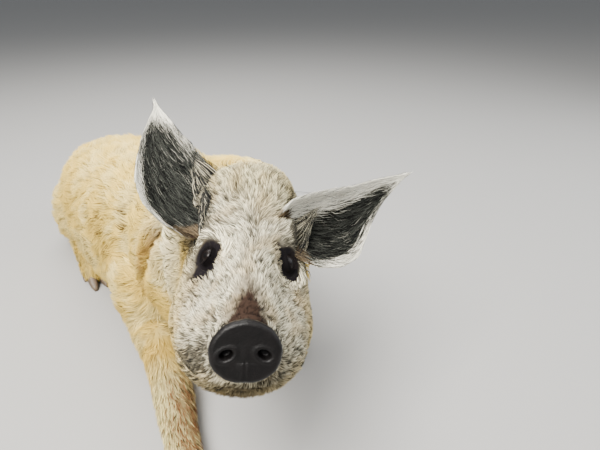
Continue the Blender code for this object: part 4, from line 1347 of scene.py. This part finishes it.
def makeSnout():
    turns, steps = snout["turns"], snout["steps"]
    angles = fullTurn * np.arange(turns) / turns
    across, upward = discEdge(angles)
    rows = []
    for k in range(1, steps + 1):
        share = 0.86 * k / steps
        x, z = across * share, upward * share
        rows.append(np.stack([x, snoutFace(x, z), z], 1))
    notch = 1.0 + 0.006 * np.sin(9.0 * angles + 0.7) + 0.004 * np.sin(17.0 * angles)
    for back, share in snoutSide:
        rows.append(np.stack([across * share * notch, np.full(turns, back), upward * share * notch], 1))
    mesh = bmesh.new()
    middle = mesh.verts.new(snoutMatrix @ Vector((0.0, float(snoutFace(np.zeros(1), np.zeros(1))[0]), 0.0)))
    grid = ringsMesh(mesh, [[snoutMatrix @ Vector(p) for p in row] for row in rows])
    for k in range(turns):
        mesh.faces.new((middle, grid[0][k], grid[0][(k + 1) % turns]))
    mesh.faces.new(grid[-1])
    bmesh.ops.recalc_face_normals(mesh, faces=mesh.faces)
    made = finished("snout_disc", mesh)
    flat = np.concatenate([[(0.0, 0.0, 0.0)]] + rows)
    x, back, z = flat.T
    rim = smooth(0.80, 1.0, np.sqrt((2.0 * x / snout["wide"]) ** 2 + (2.0 * z / snout["tall"]) ** 2))
    # Painted shade deep in the nostrils
    nostrilShade = smooth(0.0020, 0.0045, back) * (rim < 0.5)
    crust = back + 0.0012 * waves(flat, 0.008, 10)
    colours = painted(
        linear(11, 9, 9),
        (linear(7, 6, 6), 0.5 + 0.5 * waves(flat, 0.012, 9)),
        (linear(17, 14, 13), 0.5 * rim),
        (linear(150, 134, 112), 0.85 * smooth(0.0085, 0.0125, crust)),
        (linear(3, 2, 2), nostrilShade),
    )
    show(made, colours, looks["snout"], "snout", "snout")


# Short hair that lies back from the disc's edge over its join with the face
fringe = {
    "count": 1100, "start": (0.0062, 0.0150), "length": (0.010, 0.018), "lift": (0.02, 0.08), "drift": 0.05,
    "halves": (0.00045, 0.0004, 0.0), "shades": (0.6, 0.95, 1.05),
}


def makeFringe():
    rng = np.random.default_rng(77)
    count = int(fringe["count"] * quickShare)
    angle = rng.uniform(0.0, fullTurn, count)
    across, upward = discEdge(angle)
    start = rng.uniform(*fringe["start"], count)
    kept = (upward < 0.014) | (abs(across) > 0.023)
    angle, across, upward, start = angle[kept], across[kept], upward[kept], start[kept]
    count = len(start)
    length = rng.uniform(*fringe["length"], count)
    lift = rng.uniform(*fringe["lift"], count)
    drift = rng.normal(0.0, fringe["drift"], count)
    rows = []
    for k in range(3):
        s = k / 2.0
        spread = 0.985 - 0.16 * smooth(0.0090, 0.0240, start) + s * lift
        bend = drift * s
        x = across * spread - upward * bend
        z = upward * spread + across * bend
        rows.append(placed(np.stack([x, start + s * length, z], 1), snoutMatrix))
    rows = np.stack(rows, 1)
    out = unit(np.stack([across, np.zeros(count), upward], 1)) @ np.array(snoutMatrix.to_3x3()).T
    side = unit(np.cross(out, rows[:, 2] - rows[:, 0]))
    above = smooth(0.010, 0.024, upward) * smooth(0.026, 0.014, abs(across))
    dark = rng.random(count) < 0.48 + 0.20 * smooth(0.0, -0.02, upward)
    pale = mix(tones["ivory"][None], tones["brown"][None], 0.75 * above * rng.uniform(0.4, 1.0, count))
    black = tones["pepper"] * rng.uniform(0.8, 3.0, (count, 1))
    colour = either(dark, black, pale * rng.uniform(0.30, 0.85, (count, 1)))
    flat = np.stack([0.02 + 0.96 * angle / fullTurn, 0.3 + 20.0 * start], 1)
    hair("face", "snout_fringe", rows, side, out, fringe["halves"], colour, flat, 0.4, fringe["shades"])


makeSnout()
makeFringe()
print("snout")


# Eyes, lids and lashes
def eyeMatrix(side):
    outward = Vector((side * 0.62, -0.56, 0.55)).normalized()
    slit = Vector((side * 0.45, -0.30, -0.84))
    slit = (slit - slit.dot(outward) * outward).normalized()
    axes = Matrix((slit, outward.cross(slit), outward)).transposed().to_4x4()
    return headMatrix @ Matrix.Translation((side * eyes["place"][0], *eyes["place"][1:])) @ axes


def onBall(along, upward, radius):
    away = math.hypot(along, upward) / eyes["radius"]
    flat = math.sin(away) / max(1e-6, math.hypot(along, upward))
    return Vector((along * flat, upward * flat, math.cos(away))) * radius


lids = {"long": 0.0102, "open": 0.0056, "turns": 56, "fold": 0.0105}
lashes = {
    "upper": 24, "lower": 10, "upperLength": 0.0125, "lowerLength": 0.006, "halves": (0.0004, 0.0003, 0.0),
}
brows = {
    "count": 200, "reach": (0.0250, 0.0360), "size": (0.012, 0.019), "depth": (0.003, 0.006), "dark": 0.40,
    "from": {"right": (100.0, 262.0), "left": (-82.0, 80.0)}, "halves": (0.0005, 0.0005, 0.0004, 0.0),
}


def lidEdge(angle, spread):
    along = lids["long"] * spread * math.cos(angle)
    upward = lids["open"] * math.copysign(abs(math.sin(angle)) ** 1.3, math.sin(angle))
    return along, upward + (spread - 1.0) * lids["fold"] * math.sin(angle)


def makeEye(side, label):
    place = eyeMatrix(side)
    mesh = bmesh.new()
    bmesh.ops.create_uvsphere(mesh, u_segments=48, v_segments=32, radius=eyes["radius"], matrix=place)
    made = finished(f"eyeball_{label}", mesh)
    gaze = unit(np.array(place.to_3x3() @ Vector((0.10, -0.02, 1.0))))
    off = unit(vertexPlaces(made) - np.array(place.translation))
    angle = np.degrees(np.arccos(np.clip(off @ gaze, -1.0, 1.0)))
    colours = painted(
        linear(10, 8, 8),
        (linear(17, 11, 9), smooth(15.0, 19.0, angle)),
        (linear(12, 8, 7), smooth(27.0, 34.0, angle)),
        (linear(22, 17, 16), smooth(38.0, 46.0, angle)),
    )
    show(made, colours, looks["eye"], "eye", f"eye_{label}")
    rows = []
    layers = [  # spread, out from the ball, how far it has gone over to the skin, and its height there
        (1.00, -0.0002, 0.0, 0.0), (1.00, 0.0010, 0.0, 0.0), (1.06, 0.0019, 0.0, 0.0),
        (1.20, 0.0025, 0.0, 0.0), (1.34, 0.0021, 0.0, 0.0), (1.46, 0.0026, 0.0, 0.0),
        (1.60, 0.0018, 0.25, 0.001), (1.78, 0.0010, 0.6, 0.001), (1.96, 0.0005, 0.9, 0.0004),
        (2.15, 0.0, 1.0, -0.0012),
    ]
    for spread, out, over, high in layers:
        row = []
        for k in range(lids["turns"]):
            turn = fullTurn * k / lids["turns"]
            along, upward = lidEdge(turn, spread)
            point = place @ onBall(along, upward, eyes["radius"] + out)
            if over:
                spot, normal, _, _ = skinTree.find_nearest(place @ Vector((along, upward, 0.006)))
                point = point.lerp(spot + normal * high, over)
            row.append(point)
        rows.append(row)
    mesh = bmesh.new()
    ringsMesh(mesh, rows)
    bmesh.ops.recalc_face_normals(mesh, faces=mesh.faces)
    made = finished(f"lids_{label}", mesh)
    level = np.repeat(np.arange(len(layers)) / (len(layers) - 1.0), lids["turns"])
    rim = (linear(13, 11, 12), smooth(0.0, 0.3, level))
    colours = painted(linear(20, 17, 17), rim, (linear(18, 16, 17), smooth(0.5, 1.0, level)))
    show(made, colours, looks["lid"], "face")
    return place


def makeLashes(side, label, place):
    rng = np.random.default_rng(500 if side > 0 else 501)
    turnTo = place.to_3x3()
    rows = []
    count = lashes["upper"] + lashes["lower"]
    for k in range(count):
        upper = k < lashes["upper"]
        if upper:
            turn = math.pi * (0.12 + 0.76 * k / (lashes["upper"] - 1.0))
        else:
            turn = -math.pi * (0.2 + 0.6 * (k - lashes["upper"]) / (lashes["lower"] - 1.0))
        along, upward = lidEdge(turn, 1.04)
        start = place @ onBall(along, upward, eyes["radius"] + 0.0014)
        length = lashes["upperLength" if upper else "lowerLength"] * rng.uniform(0.8, 1.2)
        out = Vector((0.5 * math.cos(turn) + rng.normal(0, 0.12), 0.75 * math.sin(turn), 0.75))
        drop = Vector((0.25, -0.35 if upper else 0.1, 0.15))
        middle = start + turnTo @ out * length * 0.5
        end = middle + turnTo @ (out + drop) * length * 0.5
        rows.append([start, middle, end])
    across, up = (np.tile(turnTo.col[k], (count, 1)) for k in range(2))
    flat = np.stack([np.linspace(0.1, 0.9, count), np.full(count, 0.5)], 1)
    colours = np.tile(linear(26, 22, 21), (count, 3, 1))
    hair("face", f"lashes_{label}", np.array(rows), across, up, lashes["halves"], colours, flat)


# An arch of longer pale hair over each eye, with dark hair between
def makeBrow(side, label, place):
    rng = np.random.default_rng(520 if side > 0 else 521)
    count = brows["count"]
    middle, outward = np.array(place.translation), np.array(place.to_3x3())[:, 2]
    angle = np.radians(rng.uniform(*brows["from"][label], count))
    reach = rng.uniform(*brows["reach"], count)
    flat = np.stack([reach * np.cos(angle), reach * np.sin(angle), np.full(count, 0.006)], 1)
    roots, normals = onSkin(placed(flat, place))
    lies = unit(np.cross(outward, roots - middle) * -side) + 0.25 * unit(roots - middle)
    size, depth = rng.uniform(*brows["size"], count), rng.uniform(*brows["depth"], count)
    middles, sides, ups = grow(skinTree, roots, normals, unit(lies), size, depth, 3, 0.001)
    colour = mix(tones["ivory"], tones["pepper"], (rng.random(count) < brows["dark"]) * 0.9)
    flat = laidFlat(roots)
    hair("face", f"brow_{label}", middles, sides, ups, brows["halves"], colour, flat, 0.4, longShades)


for side, label in ((-1.0, "right"), (1.0, "left")):
    eyePlace = makeEye(side, label)
    makeLashes(side, label, eyePlace)
    makeBrow(side, label, eyePlace)
print("eyes")


# Claws
clawSizes = {
    "claw": {"length": 0.046, "width": 0.024, "height": 0.034, "place": (0.0128, 0.008, 0.0), "turn": 0.06},
    "dewclaw": {
        "length": 0.022, "width": 0.014, "height": 0.016, "place": (0.0215, 0.042, 0.001), "turn": 0.35,
    },
}
clawTable = ((0.0, 0.35, 0.7, 1.0), (0.80, 1.0, 0.82, 0.34), (0.86, 1.0, 0.68, 0.28))


def makeClaw(foot, kind, label, side, path):
    size = clawSizes[kind]
    end, before = path[-1][0], path[-2][0]
    ahead = end - before
    place = (
        Matrix.Translation((end.x, end.y, 0.0))
        @ Matrix.Rotation(math.atan2(ahead.x, -ahead.y), 4, "Z")
        @ Matrix.Translation((side * size["place"][0], *size["place"][1:]))
        @ Matrix.Rotation(side * size["turn"], 4, "Z")
    )
    rings = []
    for share in np.linspace(0.0, 1.0, 15):
        wide = np.interp(share, clawTable[0], clawTable[1]) * size["width"] / 2.0
        tall = np.interp(share, clawTable[0], clawTable[2]) * size["height"] / 2.0
        grooves = 1.0 + 0.012 * math.sin(34.0 * share)
        outline = section(wide * grooves, tall, tall, 2.6, 28)
        rings.append([place @ Vector((x, -size["length"] * share, tall + z)) for x, z in outline])
    made = finished(f"horn_{kind}_{foot}_{label}", loftMesh(rings))
    places = vertexPlaces(made)
    places[:, 2] = np.maximum(places[:, 2], 0.0)
    setPlaces(made, places)
    tip = norms(places - np.array(place.translation)) / size["length"]
    colour = mix(linear(70, 58, 48), linear(112, 96, 78), smooth(0.4, 1.1, tip))
    colours = colour * (0.85 + 0.15 * waves(places, 0.006, 12))[:, None]
    show(made, colours, looks["claw"], "claw", f"{kind}_{foot}_{label}")


feet = {
    "fore_right": rightForeleg, "fore_left": leftForefoot,
    "hind_right": mirrored(hindFoot), "hind_left": hindFoot,
}
for foot, path in feet.items():
    for label, side in (("inner", -1.0), ("outer", 1.0)):
        for kind in clawSizes:
            makeClaw(foot, kind, label, side, path)
print("claws")


# Camera, light and floor
cameraData = bpy.data.cameras.new("camera")
cameraData.lens = 27.0
cameraData.sensor_width = 36.0
camera = linked("camera", cameraData)
camera.location = (-0.342, -1.128, 0.760)
camera.rotation_euler = (math.radians(60.0), 0.0, math.radians(-38.0))
bpy.context.scene.camera = camera

floorMesh = bmesh.new()
bmesh.ops.create_grid(floorMesh, x_segments=1, y_segments=1, size=40.0)
floor = finished("floor", floorMesh)
floorLook = material("floor", 0.9)
floorLook.node_tree.nodes["Principled BSDF"].inputs["Base Color"].default_value = (0.34, 0.335, 0.325, 1.0)
floor.data.materials.append(floorLook)

lamps = {  # where, size, power, colour
    "key": ((-1.5, -1.1, 2.7), 1.6, 336.0, (1.0, 0.97, 0.92)),
    "fill": ((1.9, -1.4, 1.6), 2.2, 54.0, (0.94, 0.97, 1.0)),
    "top": ((0.3, 1.2, 2.8), 2.0, 120.0, (1.0, 0.98, 0.95)),
}
for name, (where, size, power, colour) in lamps.items():
    lampData = bpy.data.lights.new(name, "AREA")
    lampData.size = size
    lampData.energy = power
    lampData.color = colour
    lamp = linked(name, lampData)
    lamp.location = where
    aim = Vector((-0.05, -0.3, 0.2)) - Vector(where)
    lamp.rotation_euler = aim.to_track_quat("-Z", "Y").to_euler()

world = bpy.data.worlds.new("world")
world.use_nodes = True
world.node_tree.nodes["Background"].inputs["Color"].default_value = (0.86, 0.90, 0.95, 1.0)
world.node_tree.nodes["Background"].inputs["Strength"].default_value = 0.42
bpy.context.scene.world = world
print("stage")
